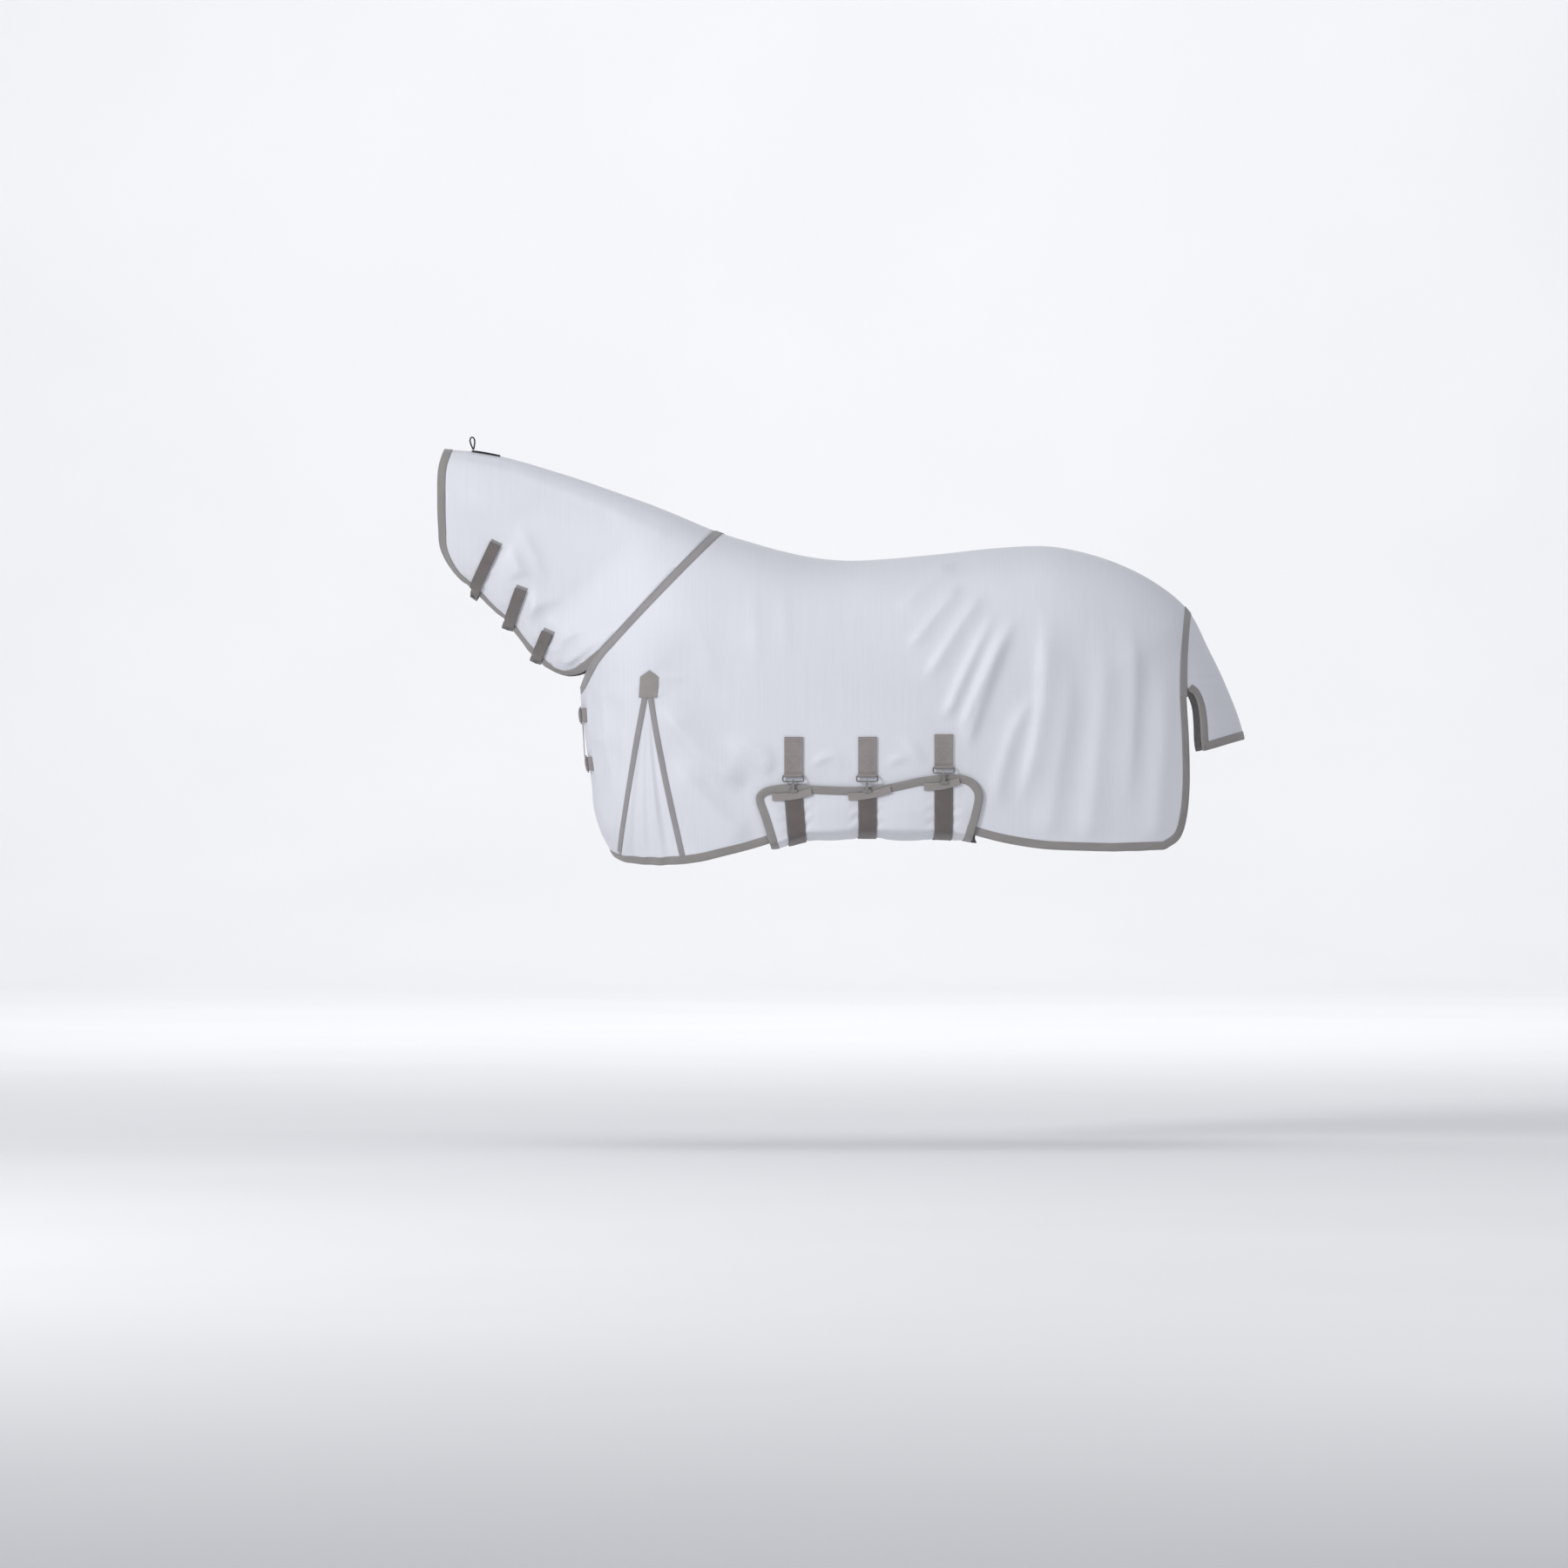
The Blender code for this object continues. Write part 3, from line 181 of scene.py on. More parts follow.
HEM = np.array([
    (1.150, -0.874), (1.015, -0.871), (0.897, -0.866), (0.802, -0.852), (0.727, -0.834), (0.655, -0.812),
    (0.550, -0.802), (0.350, -0.802), (0.235, -0.815), (0.165, -0.845), (0.100, -0.866), (0.030, -0.884),
    (-0.047, -0.902), (-0.142, -0.911), (-0.220, -0.908), (-0.262, -0.896), (-0.310, -0.868),
])  # fmt: skip
GUSSET_FRONT = np.array([(-0.180, -0.432), (-0.207, -0.574), (-0.240, -0.773), (-0.264, -0.930)])
GUSSET_REAR = np.array([(-0.180, -0.432), (-0.157, -0.574), (-0.123, -0.741), (-0.080, -0.930)])
GUSSET_PATCH = np.array([
    (-0.175, -0.383), (-0.151, -0.401), (-0.155, -0.457), (-0.204, -0.457), (-0.200, -0.400),
])  # fmt: skip
SEAM_GAP = 0.0006
LAYER_GAP = 0.0004  # between two sewn layers
TAIL_FLAP_EDGE = np.vstack([REAR_EDGE[1:TAIL_SEAM_FOOT] + (2 * SEAM_GAP, 0), [
    (1.286, -0.430), (1.304, -0.447), (1.316, -0.478), (1.321, -0.520), (1.323, -0.573), (1.327, -0.601),
]])  # fmt: skip
BELLY_FLAP = smooth([
    (0.168, -0.900), (0.155, -0.864), (0.131, -0.786), (0.114, -0.735), (0.124, -0.712), (0.148, -0.700),
    (0.200, -0.694), (0.300, -0.699), (0.400, -0.701), (0.470, -0.694), (0.566, -0.674), (0.650, -0.667),
    (0.692, -0.675), (0.718, -0.699), (0.726, -0.730), (0.714, -0.786), (0.700, -0.833), (0.690, -0.900),
])  # fmt: skip
BELLY_FLAP_LOW = smooth([
    (0.090, -0.872), (0.165, -0.867), (0.236, -0.849), (0.283, -0.839), (0.378, -0.837), (0.566, -0.839),
    (0.661, -0.842), (0.696, -0.848), (0.760, -0.858),
])  # fmt: skip
BELLY_SEAM_Z = -0.770
NECK_SHARES = smooth([
    (-0.90, 0.80), (-0.70, 0.86), (-0.45, 1.00), (-0.25, 1.25), (0.00, 1.70), (0.30, 2.00),
])  # fmt: skip
BODY_SHARES = smooth([
    (-0.60, 0.74), (-0.36, 0.76), (-0.05, 0.83), (0.20, 0.93), (0.50, 1.00), (0.80, 0.98), (1.00, 0.93),
    (1.28, 0.80), (1.50, 0.74),
])  # fmt: skip
BODY_CROWN = smooth([(-0.60, 0.26), (0.00, 0.30), (0.50, 0.37), (1.00, 0.37), (1.50, 0.41)])
BELLY_DRAW_ALONG = smooth([
    (-0.60, 0), (-0.10, 0.0), (0.10, 0.5), (0.30, 1), (0.62, 1), (0.85, 0.45), (1.1, 0.1), (1.6, 0.1),
])  # fmt: skip
TAB_TOPS = np.array([(0.215, -0.564), (0.415, -0.564), (0.621, -0.557)])
TAB_FOLDS = np.array([(0.215, -0.668), (0.415, -0.668), (0.621, -0.646)])
BELLY_STRAP_LEAN = (0.022, 0.002, 0.000)
GUARDS = np.array([
    [(0.158, -0.727), (0.264, -0.712)],
    [(0.364, -0.726), (0.478, -0.706)],
    [(0.568, -0.699), (0.664, -0.684)],
])  # fmt: skip
NECK_STRAPS = np.array([
    [(-0.598, -0.036), (-0.658, -0.163)],
    [(-0.528, -0.160), (-0.5595, -0.249)],
    [(-0.454, -0.278), (-0.482, -0.340)],
])  # fmt: skip
CHEST_LEVELS = (-0.503, -0.636)
WELD = 0.0004  # points of the two sides of a sheet this near each other become one
FOLD_SHARPNESS = 1.6  # 2 is a rounded ridge and 1 a sharp one
# How cloth is cut into triangles, in steps of its net.
EDGE_STEP = 0.3  # between two points of its edge
EDGE_ROOM = 0.5  # from its edge to the first point inside
NEAR_EDGE = 0.05  # nearer than this to an edge of the net counts as on it
ON_CENTRE = 0.02  # and nearer than this to the centre plane
EDGE_PACE = 0.0015  # the pace along a pattern line that is fitted to a net, in metres
ROUTE_STEP = 0.25  # and along a tape's path, in steps


# ---------------------------------------------------------------------------------------------------------
# The form and the folds of the cloth
# ---------------------------------------------------------------------------------------------------------


@dataclass(frozen=True)
class HorseForm:
    """The shape that the cloth lies on."""

    barrel_width: float = 0.670
    neck_width: float = 0.270
    neck_crown: float = 0.19
    neck_breast: float = 0.13
    body_breast: float = 0.22
    seam_spread: float = 0.16
    roundness: float = 2.2
    belly_draw: float = 0.16

    def rounded(self, share: Array) -> Array:
        """A round shoulder that rises from 0 to 1."""
        return (1 - (1 - np.clip(share, 0, 1)) ** self.roundness) ** (1 / self.roundness)

    def half_width(self, x: Array, z: Array) -> Array:
        """Half the form's width at side-view points.

        Args:
            x: distance to the rear of the withers.
            z: height over the withers.

        Returns:
            The half widths, in metres.
        """
        x, z = np.broadcast_arrays(np.asarray(x, float), np.asarray(z, float))
        body = eased((x - z) / math.sqrt(2) / (2 * self.seam_spread) + 0.5)
        neck_width = self.neck_width / 2 * np.interp(x, *NECK_SHARES.T)
        body_width = self.barrel_width / 2 * np.interp(x, *BODY_SHARES.T)
        crown = self.neck_crown + (np.interp(x, *BODY_CROWN.T) - self.neck_crown) * body
        breast = self.neck_breast + (self.body_breast - self.neck_breast) * body
        low = np.clip((-z - 0.52) / 0.42, 0, 1)
        drawn_in = 1 - self.belly_draw * np.interp(x, *BELLY_DRAW_ALONG.T) * low * low
        flat = np.stack([x, z], -1).reshape(-1, 2)
        top = np.abs(signed_distance(TOPLINE, flat)[0]).reshape(x.shape)
        front = np.abs(signed_distance(FRONTLINE, flat)[0]).reshape(x.shape)
        width = neck_width + (body_width - neck_width) * body
        return width * self.rounded(top / crown) * self.rounded(front / breast) * drawn_in


@dataclass(frozen=True)
class Fold:
    """A soft fold that stands out along a line of the side view."""

    spine: tuple[tuple[float, float], ...]
    height: float
    left: float  # how wide it falls away on the left of its line, and on the right
    right: float
    start: float = 0.25  # the shares of its length in which it rises and dies away
    end: float = 0.25

    def at(self, xz: Array) -> Array:
        """How far the fold stands out at side-view points."""
        far, place = signed_distance(smooth(self.spine, 6), xz)
        width = np.where(far > 0, self.left, self.right)
        shape = np.exp(-(np.abs(far / width) ** FOLD_SHARPNESS))
        return self.height * shape * eased(place / self.start) * eased((1 - place) / self.end)


BODY_FOLDS = (
    # the fan of drag lines from the rear strap over the flank to the loin
    Fold(((0.661, -0.085), (0.575, -0.150), (0.490, -0.225)), 0.005, 0.026, 0.014),
    Fold(((0.675, -0.145), (0.600, -0.235), (0.520, -0.335)), 0.0065, 0.022, 0.012),
    Fold(((0.735, -0.165), (0.650, -0.285), (0.565, -0.420)), 0.0075, 0.026, 0.012),
    Fold(((0.765, -0.215), (0.700, -0.345), (0.648, -0.460), (0.598, -0.600)), 0.0085, 0.02, 0.013, 0.3, 0.2),
    Fold(
        ((0.790, -0.260), (0.735, -0.385), (0.690, -0.490), (0.655, -0.590)),
        0.0075, 0.014, 0.011, 0.3, 0.2,
    ),
    Fold(((0.822, -0.220), (0.765, -0.350), (0.722, -0.465), (0.675, -0.610)), 0.009, 0.018, 0.022, 0.3, 0.2),
    Fold(
        ((0.900, -0.200), (0.893, -0.340), (0.886, -0.470), (0.866, -0.590), (0.828, -0.760)),
        0.012, 0.055, 0.016, 0.35,
    ),
    Fold(((0.872, -0.440), (0.812, -0.545), (0.770, -0.680), (0.752, -0.780)), 0.007, 0.03, 0.02),
    Fold(((0.960, -0.330), (0.955, -0.500), (0.925, -0.680), (0.900, -0.850)), 0.006, 0.035, 0.035, 0.3, 0.1),
    # long falls down the quarter
    Fold(((1.045, -0.240), (1.052, -0.420), (1.035, -0.620), (1.010, -0.860)), 0.007, 0.045, 0.03, 0.4, 0.1),
    Fold(((1.122, -0.230), (1.137, -0.370), (1.130, -0.560), (1.118, -0.800)), 0.006, 0.022, 0.036, 0.3, 0.4),
    Fold(((1.215, -0.330), (1.218, -0.480), (1.210, -0.640), (1.190, -0.860)), 0.005, 0.04, 0.03, 0.4, 0.1),
    # the drag from the gusset back to the belly flap
    Fold(
        ((-0.155, -0.455), (-0.105, -0.530), (-0.020, -0.625), (0.090, -0.700)),
        0.013, 0.05, 0.026, 0.3, 0.2,
    ),
    Fold(
        ((-0.110, -0.600), (-0.050, -0.700), (0.030, -0.790), (0.110, -0.850)),
        0.009, 0.03, 0.045, 0.3, 0.2,
    ),
    Fold(((0.020, -0.560), (0.100, -0.620), (0.180, -0.668)), 0.006, 0.026, 0.016, 0.4, 0.2),
    Fold(((-0.160, -0.440), (-0.120, -0.462), (-0.060, -0.480)), 0.003, 0.01, 0.008, 0.1, 0.5),
    Fold(((-0.155, -0.400), (-0.110, -0.405), (-0.060, -0.400)), 0.002, 0.012, 0.01, 0.1, 0.6),
    # gathers by the webbing tabs
    Fold(((0.245, -0.655), (0.290, -0.625), (0.345, -0.612)), 0.0045, 0.012, 0.009, 0.15, 0.5),
    Fold(((0.385, -0.655), (0.345, -0.632), (0.300, -0.600)), 0.0035, 0.012, 0.009, 0.15, 0.5),
    Fold(((0.445, -0.655), (0.490, -0.628), (0.545, -0.612)), 0.004, 0.012, 0.009, 0.15, 0.5),
    Fold(((0.590, -0.640), (0.545, -0.600), (0.500, -0.548)), 0.005, 0.016, 0.01, 0.15, 0.5),
    Fold(((0.185, -0.650), (0.130, -0.600), (0.060, -0.560)), 0.0045, 0.014, 0.01, 0.15, 0.5),
    # easy fullness on the shoulder and the back
    Fold(((0.100, -0.120), (0.110, -0.260), (0.120, -0.420)), 0.0022, 0.016, 0.016, 0.4, 0.4),
    Fold(((0.190, -0.140), (0.192, -0.240), (0.200, -0.380)), 0.0018, 0.012, 0.014, 0.4, 0.4),
    Fold(((-0.060, -0.220), (-0.020, -0.330), (0.000, -0.450)), 0.003, 0.035, 0.03, 0.4, 0.4),
    Fold(((-0.300, -0.420), (-0.315, -0.520), (-0.300, -0.640)), 0.004, 0.02, 0.02, 0.4, 0.4),
    Fold(((-0.340, -0.700), (-0.300, -0.780), (-0.270, -0.860)), 0.0035, 0.018, 0.018, 0.4, 0.3),
)
NECK_FOLDS = (
    Fold(
        ((-0.575, -0.020), (-0.535, -0.100), (-0.500, -0.190), (-0.470, -0.260)),
        0.008, 0.018, 0.026, 0.3, 0.3,
    ),
    Fold(((-0.545, 0.030), (-0.500, -0.050), (-0.455, -0.150)), 0.0045, 0.016, 0.028, 0.4, 0.4),
    Fold(((-0.520, -0.235), (-0.470, -0.200), (-0.410, -0.190)), 0.0045, 0.018, 0.014, 0.15, 0.6),
    Fold(((-0.450, -0.330), (-0.400, -0.290), (-0.340, -0.270)), 0.005, 0.018, 0.012, 0.15, 0.6),
    Fold(((-0.420, -0.365), (-0.365, -0.338), (-0.300, -0.290)), 0.0055, 0.014, 0.009, 0.2, 0.4),
    Fold(((-0.640, -0.130), (-0.600, -0.090), (-0.555, -0.070)), 0.0035, 0.016, 0.012, 0.15, 0.6),
    Fold(((-0.690, 0.120), (-0.600, 0.080), (-0.480, 0.060)), 0.003, 0.03, 0.03, 0.4, 0.4),
    Fold(((-0.300, 0.060), (-0.200, -0.010), (-0.100, -0.040)), 0.003, 0.02, 0.03, 0.4, 0.4),
    Fold(
        ((-0.620, 0.185), (-0.480, 0.130), (-0.300, 0.060), (-0.110, -0.030)),
        0.0025, 0.03, 0.012, 0.3, 0.1,
    ),
)


def ripple(xz: Array, seed: float, height: float) -> Array:
    """Slight unevenness that any hanging cloth has.

    Args:
        xz: side-view points.
        seed: picks one of many patterns.
        height: its size, in metres.

    Returns:
        How far the cloth stands out at each point.
    """
    x, z = xz[:, 0], xz[:, 1]
    total = np.zeros(len(xz))
    for k in range(7):
        turn = seed + 1.7 * k
        fx, fz = 9 + 7.3 * k * abs(math.sin(turn)), 4 + 3.1 * k * abs(math.cos(1.3 * turn))
        total += np.sin(fx * x + 2.1 * turn + 1.4 * np.sin(fz * z + turn)) / (1 + 0.5 * k)
    return height * total / 3


class Lattice:
    """A fine net of points over one part of the form, on the near side."""

    def __init__(self, points: Array, centred: Array) -> None:
        """Takes the net's points and marks those on the centre plane.

        Args:
            points: rows and columns of points.
            centred: which of them lie on the centre plane.
        """
        points = points.copy()
        points[centred, 1] = 0
        self.points = points
        du, dv = np.gradient(points, axis=0), np.gradient(points, axis=1)
        normals = np.cross(dv, du)
        normals[centred, 1] = 0
        self.normals = normals / np.maximum(np.linalg.norm(normals, axis=-1, keepdims=True), 1e-12)
        girth = np.linalg.norm(np.diff(points, axis=1), axis=-1)
        self.girth = np.concatenate([np.zeros((len(points), 1)), np.cumsum(girth, axis=1)], axis=1)
        rows, columns = points.shape[:2]
        index = np.arange(rows * columns).reshape(rows, columns)
        a, b, c, d = index[:-1, :-1], index[1:, :-1], index[1:, 1:], index[:-1, 1:]
        self.triangles = np.concatenate([np.stack(h, -1).reshape(-1, 3) for h in ((a, b, c), (a, c, d))])
        flat = points.reshape(-1, 3) * (1, 0, 1)
        self.flat = flat[:, (0, 2)]
        self.tree = BVHTree.FromPolygons(flat.tolist(), self.triangles.tolist())
        self.columns = columns

    def locate(self, xz: Array) -> Array:
        """Where side-view points lie in the net, in its own steps."""
        places = []
        for x, z in xz:
            hit, _, face, _ = self.tree.find_nearest(Vector((x, 0, z)))
            corners = self.triangles[face]
            a, b, c = self.flat[corners]
            solve = np.array([b - a, c - a]).T
            w = np.linalg.lstsq(solve, np.array((hit.x, hit.z)) - a, rcond=None)[0]
            steps = np.stack([corners // self.columns, corners % self.columns], -1).astype(float)
            places.append(steps[0] + w[0] * (steps[1] - steps[0]) + w[1] * (steps[2] - steps[0]))
        return np.array(places)

    def read(self, values: Array, place: Array) -> Array:
        """Values of the net between its points."""
        limit = np.array(values.shape[:2]) - 1
        place = np.clip(place, 0, limit)
        low = np.minimum(place.astype(int), limit - 1)
        t = place - low
        i, j = low[:, 0], low[:, 1]
        pad = (slice(None),) + (None,) * (values.ndim - 2)
        s, u = t[:, 0][pad], t[:, 1][pad]
        top = values[i, j] * (1 - u) + values[i, j + 1] * u
        foot = values[i + 1, j] * (1 - u) + values[i + 1, j + 1] * u
        return top * (1 - s) + foot * s


@dataclass
class Surface:
    """Loose geometry: points, faces and a cloth measure for each point, in metres."""

    points: Array
    faces: list
    measure: Array

    def mirrored(self) -> "Surface":
        """The same piece on the other side of the horse."""
        return Surface(self.points * (1, -1, 1), [tuple(f[::-1]) for f in self.faces], self.measure * (1, 1))

    def joined(self, *others: "Surface") -> "Surface":
        """This and other pieces in one."""
        points, faces, measure = [self.points], list(self.faces), [self.measure]
        count = len(self.points)
        for other in others:
            points.append(other.points)
            measure.append(other.measure)
            faces += [tuple(int(i) + count for i in f) for f in other.faces]
            count += len(other.points)
        return Surface(np.vstack(points), faces, np.vstack(measure))


def steps_of(low: Sequence, high: Sequence) -> Array:
    """Every whole step of a net from a low corner up to a high one, which is left out."""
    rows, columns = np.arange(low[0], high[0]), np.arange(low[1], high[1])
    return np.stack(np.meshgrid(rows, columns, indexing="ij"), -1).reshape(-1, 2).astype(float)


def tile(outline: Array) -> tuple[Array, list]:
    """Triangles over a closed outline, about a lattice step across.

    Args:
        outline: the outline's points, in lattice steps.

    Returns:
        All points and the triangles.
    """
    keep = [0]
    for k in range(1, len(outline)):
        if np.linalg.norm(outline[k] - outline[keep[-1]]) > EDGE_STEP:
            keep.append(k)
    outline = outline[keep]
    if np.linalg.norm(outline[0] - outline[-1]) < NEAR_EDGE:
        outline = outline[:-1]
    low, high = np.floor(outline.min(0)).astype(int), np.ceil(outline.max(0)).astype(int)
    grid = steps_of(low, high + 1)
    a, b = outline, np.roll(outline, -1, axis=0)
    inside = np.zeros(len(grid), bool)
    for (ax, ay), (bx, by) in zip(a, b):
        crosses = (ay > grid[:, 1]) != (by > grid[:, 1])
        if ay != by:
            inside ^= crosses & (grid[:, 0] < ax + (grid[:, 1] - ay) / (by - ay) * (bx - ax))
    grid = grid[inside]
    dense = paced(np.vstack([outline, outline[:1]]), EDGE_STEP)
    tree = KDTree(len(dense))
    for k, (x, y) in enumerate(dense):
        tree.insert((x, y, 0), k)
    tree.balance()
    grid = grid[[tree.find((x, y, 0))[2] > EDGE_ROOM for x, y in grid]]
    points = np.vstack([outline, grid])
    found = delaunay_2d_cdt([Vector(p) for p in points], [], [list(range(len(outline)))], 1, 1e-5)
    return np.array([tuple(v) for v in found[0]]), [tuple(f) for f in found[2]]


def trimmed(place: Array) -> Array:
    """A line in a net's steps without the ends that run past the centre plane."""
    across = 0 if place[:, 0].min() < place[:, 1].min() else 1
    inside = np.flatnonzero(place[:, across] > ON_CENTRE)
    return place[inside[0] : inside[-1] + 1]


class PlainCloth:
    """The plain model's cloth, which the fittings were placed on."""

    def __init__(self, *nodes: str) -> None:
        """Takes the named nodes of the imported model."""
        points, faces = [], []
        for name in nodes:
            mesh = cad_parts[name].data
            start = len(points)
            points += [v.co.copy() for v in mesh.vertices]
            faces += [[start + i for i in p.vertices] for p in mesh.polygons]
        self.tree = BVHTree.FromPolygons(points, faces)

    def stand_out(self, point: Array, normal: Array) -> float | None:
        """How far outside a point the plain cloth's outer face is."""
        reach = 0.03
        hit = self.tree.ray_cast(Vector(point + normal * reach), Vector(-normal), 2 * reach)
        return None if hit[0] is None else reach - hit[3]


@dataclass(frozen=True)
class FittingZone:
    """A place where the cloth lies just as on the plain model, because a fitting was placed on it there."""

    line: tuple[tuple[float, float], ...]
    reach: float
    fade: float

    def share(self, xz: Array) -> Array:
        """1 inside the zone, 0 well outside it."""
        far = np.abs(signed_distance(np.array(self.line, float), xz)[0])
        return eased((self.reach + self.fade - far) / self.fade)


class Ground:
    """Cloth that tapes and straps are laid on."""

    def __init__(self, surface: Surface) -> None:
        """Takes triangles whose faces point outwards."""
        self.points = surface.points
        self.faces = np.array(surface.faces)
        a, b, c = (self.points[self.faces[:, k]] for k in range(3))
        face_normals = np.cross(b - a, c - a)
        normals = np.zeros_like(self.points)
        for k in range(3):
            np.add.at(normals, self.faces[:, k], face_normals)
        self.normals = normals / np.maximum(np.linalg.norm(normals, axis=1, keepdims=True), 1e-12)
        self.tree = BVHTree.FromPolygons(self.points.tolist(), self.faces.tolist())

    def seat(self, point: Array) -> tuple[Array, Array]:
        """The nearest place on the cloth, and the way out of it there."""
        hit, _, face, _ = self.tree.find_nearest(Vector(point))
        corners = self.faces[face]
        a, b, c = self.points[corners]
        hit = np.array(hit)
        area = np.cross(b - a, c - a)
        size = max(float(area @ area), 1e-20)
        u = float(np.cross(b - hit, c - hit) @ area) / size
        v = float(np.cross(c - hit, a - hit) @ area) / size
        normal = np.array([u, v, 1 - u - v]) @ self.normals[corners]
        return hit, normal / np.linalg.norm(normal)

    def lay(self, path: Array, profile: Sequence, step: float = 0.008, close: bool = False) -> Surface:
        """A tape or strap laid along a path.

        Args:
            path: points on or near the cloth, in order.
            profile: the tape's cross-section as (to the left of the path, out of the cloth) pairs, in order.
            step: how far apart its cross-sections are.
            close: whether the path ends where it starts.

        Returns:
            The tape, closed at both ends.
        """
        path = paced(path, step)
        if close:
            path = path[:-1]
        ahead = np.roll(path, -1, axis=0) - np.roll(path, 1, axis=0)
        if not close:
            ahead[0], ahead[-1] = path[1] - path[0], path[-1] - path[-2]
        points, measure = [], []
        for p, t, d in zip(path, ahead, lengths(path)):
            _, n = self.seat(p)
            left = np.cross(n, t)
            left /= np.linalg.norm(left)
            seats: dict[float, tuple[Array, Array]] = {}
            for b, h in profile:
                if b not in seats:
                    q = p + left * b
                    foot, normal = self.seat(q)
                    seats[b] = (q - ((q - foot) @ normal) * normal, normal)
                base, normal = seats[b]
                points.append(base + normal * h)
                measure.append((d, b))
        return Surface(np.array(points), skin(len(path), len(profile), close), np.array(measure))


def skin(rows: int, around: int, close: bool = False) -> list:
    """Faces of a swept shape.

    Args:
        rows: cross-sections along it.
        around: points in each.
        close: whether the last one joins the first.

    Returns:
        The faces, with both ends capped unless it is closed.
    """
    faces = []
    for i in range(rows if close else rows - 1):
        here, ahead = i * around, (i + 1) % rows * around
        for j in range(around):
            beside = (j + 1) % around
            faces.append((here + j, here + beside, ahead + beside, ahead + j))
    if not close:
        faces += [tuple(range(around))[::-1], tuple(range((rows - 1) * around, rows * around))]
    return faces


def band_profile(
    width: float, thickness: float, low: float = LAYER_GAP, crown: float = 0.0, steps: int = 4
) -> list:
    """The cross-section of a flat band with soft edges.

    Args:
        width: the band's width.
        thickness: its thickness.
        low: how far its underside is from the cloth.
        crown: how much its middle stands over its edges.
        steps: points across half its face.

    Returns:
        The cross-section, as (across, out) pairs.
    """
    half, soft = width / 2, min(thickness * 0.6, width / 6)
    share = np.linspace(-1, 1, 2 * steps + 1)
    face = [((half - soft) * s, low + thickness + crown * (1 - s * s)) for s in share]
    under = [((half - soft) * s, low) for s in share[::-1]]
    middle = low + thickness / 2
    return [*face, (half, middle + thickness * 0.22), (half, middle - thickness * 0.22), *under,
            (-half, middle - thickness * 0.22), (-half, middle + thickness * 0.22)]  # fmt: skip


def moved(profile: Sequence, shift: float) -> list:
    """A cross-section moved to the left of its path."""
    return [(b + shift, h) for b, h in profile]


def wrapped_profile(width: float, tape: float, cloth: float, lip: float, side: int) -> list:
    """A tape folded over an edge of cloth, with room for the cloth inside it.

    Args:
        width: the tape's width on each face.
        tape: its thickness.
        cloth: the cloth's thickness, which lies under the ground's face.
        lip: how far it passes the edge.
        side: 1 if the cloth lies to the left of the path, -1 if to the right.

    Returns:
        The cross-section.
    """
    gap, crown, turn, slot = LAYER_GAP, 0.0002, 0.001, 0.0006
    top, foot = gap + tape, -cloth - gap - tape
    middle = (top + foot) / 2
    outer = [(width, top - tape * 0.3), (width * 0.96, top), (width * 0.6, top + crown)]
    outer += [(width * 0.3, top + crown), (turn, top), (-lip * 0.7, (top + middle) / 2 + 2 * crown)]
    outer += [(-lip, middle), (-lip * 0.7, (foot + middle) / 2), (turn, foot)]
    outer += [(width * 0.5, foot), (width * 0.96, foot), (width, foot + tape * 0.3)]
    inner = [(width, -cloth - gap), (slot, -cloth - gap), (slot, gap), (width, gap)]
    shape = [*outer, *inner]
    return [(side * b, h) for b, h in (shape if side > 0 else shape[::-1])]


# ---------------------------------------------------------------------------------------------------------
# Finishes
# ---------------------------------------------------------------------------------------------------------


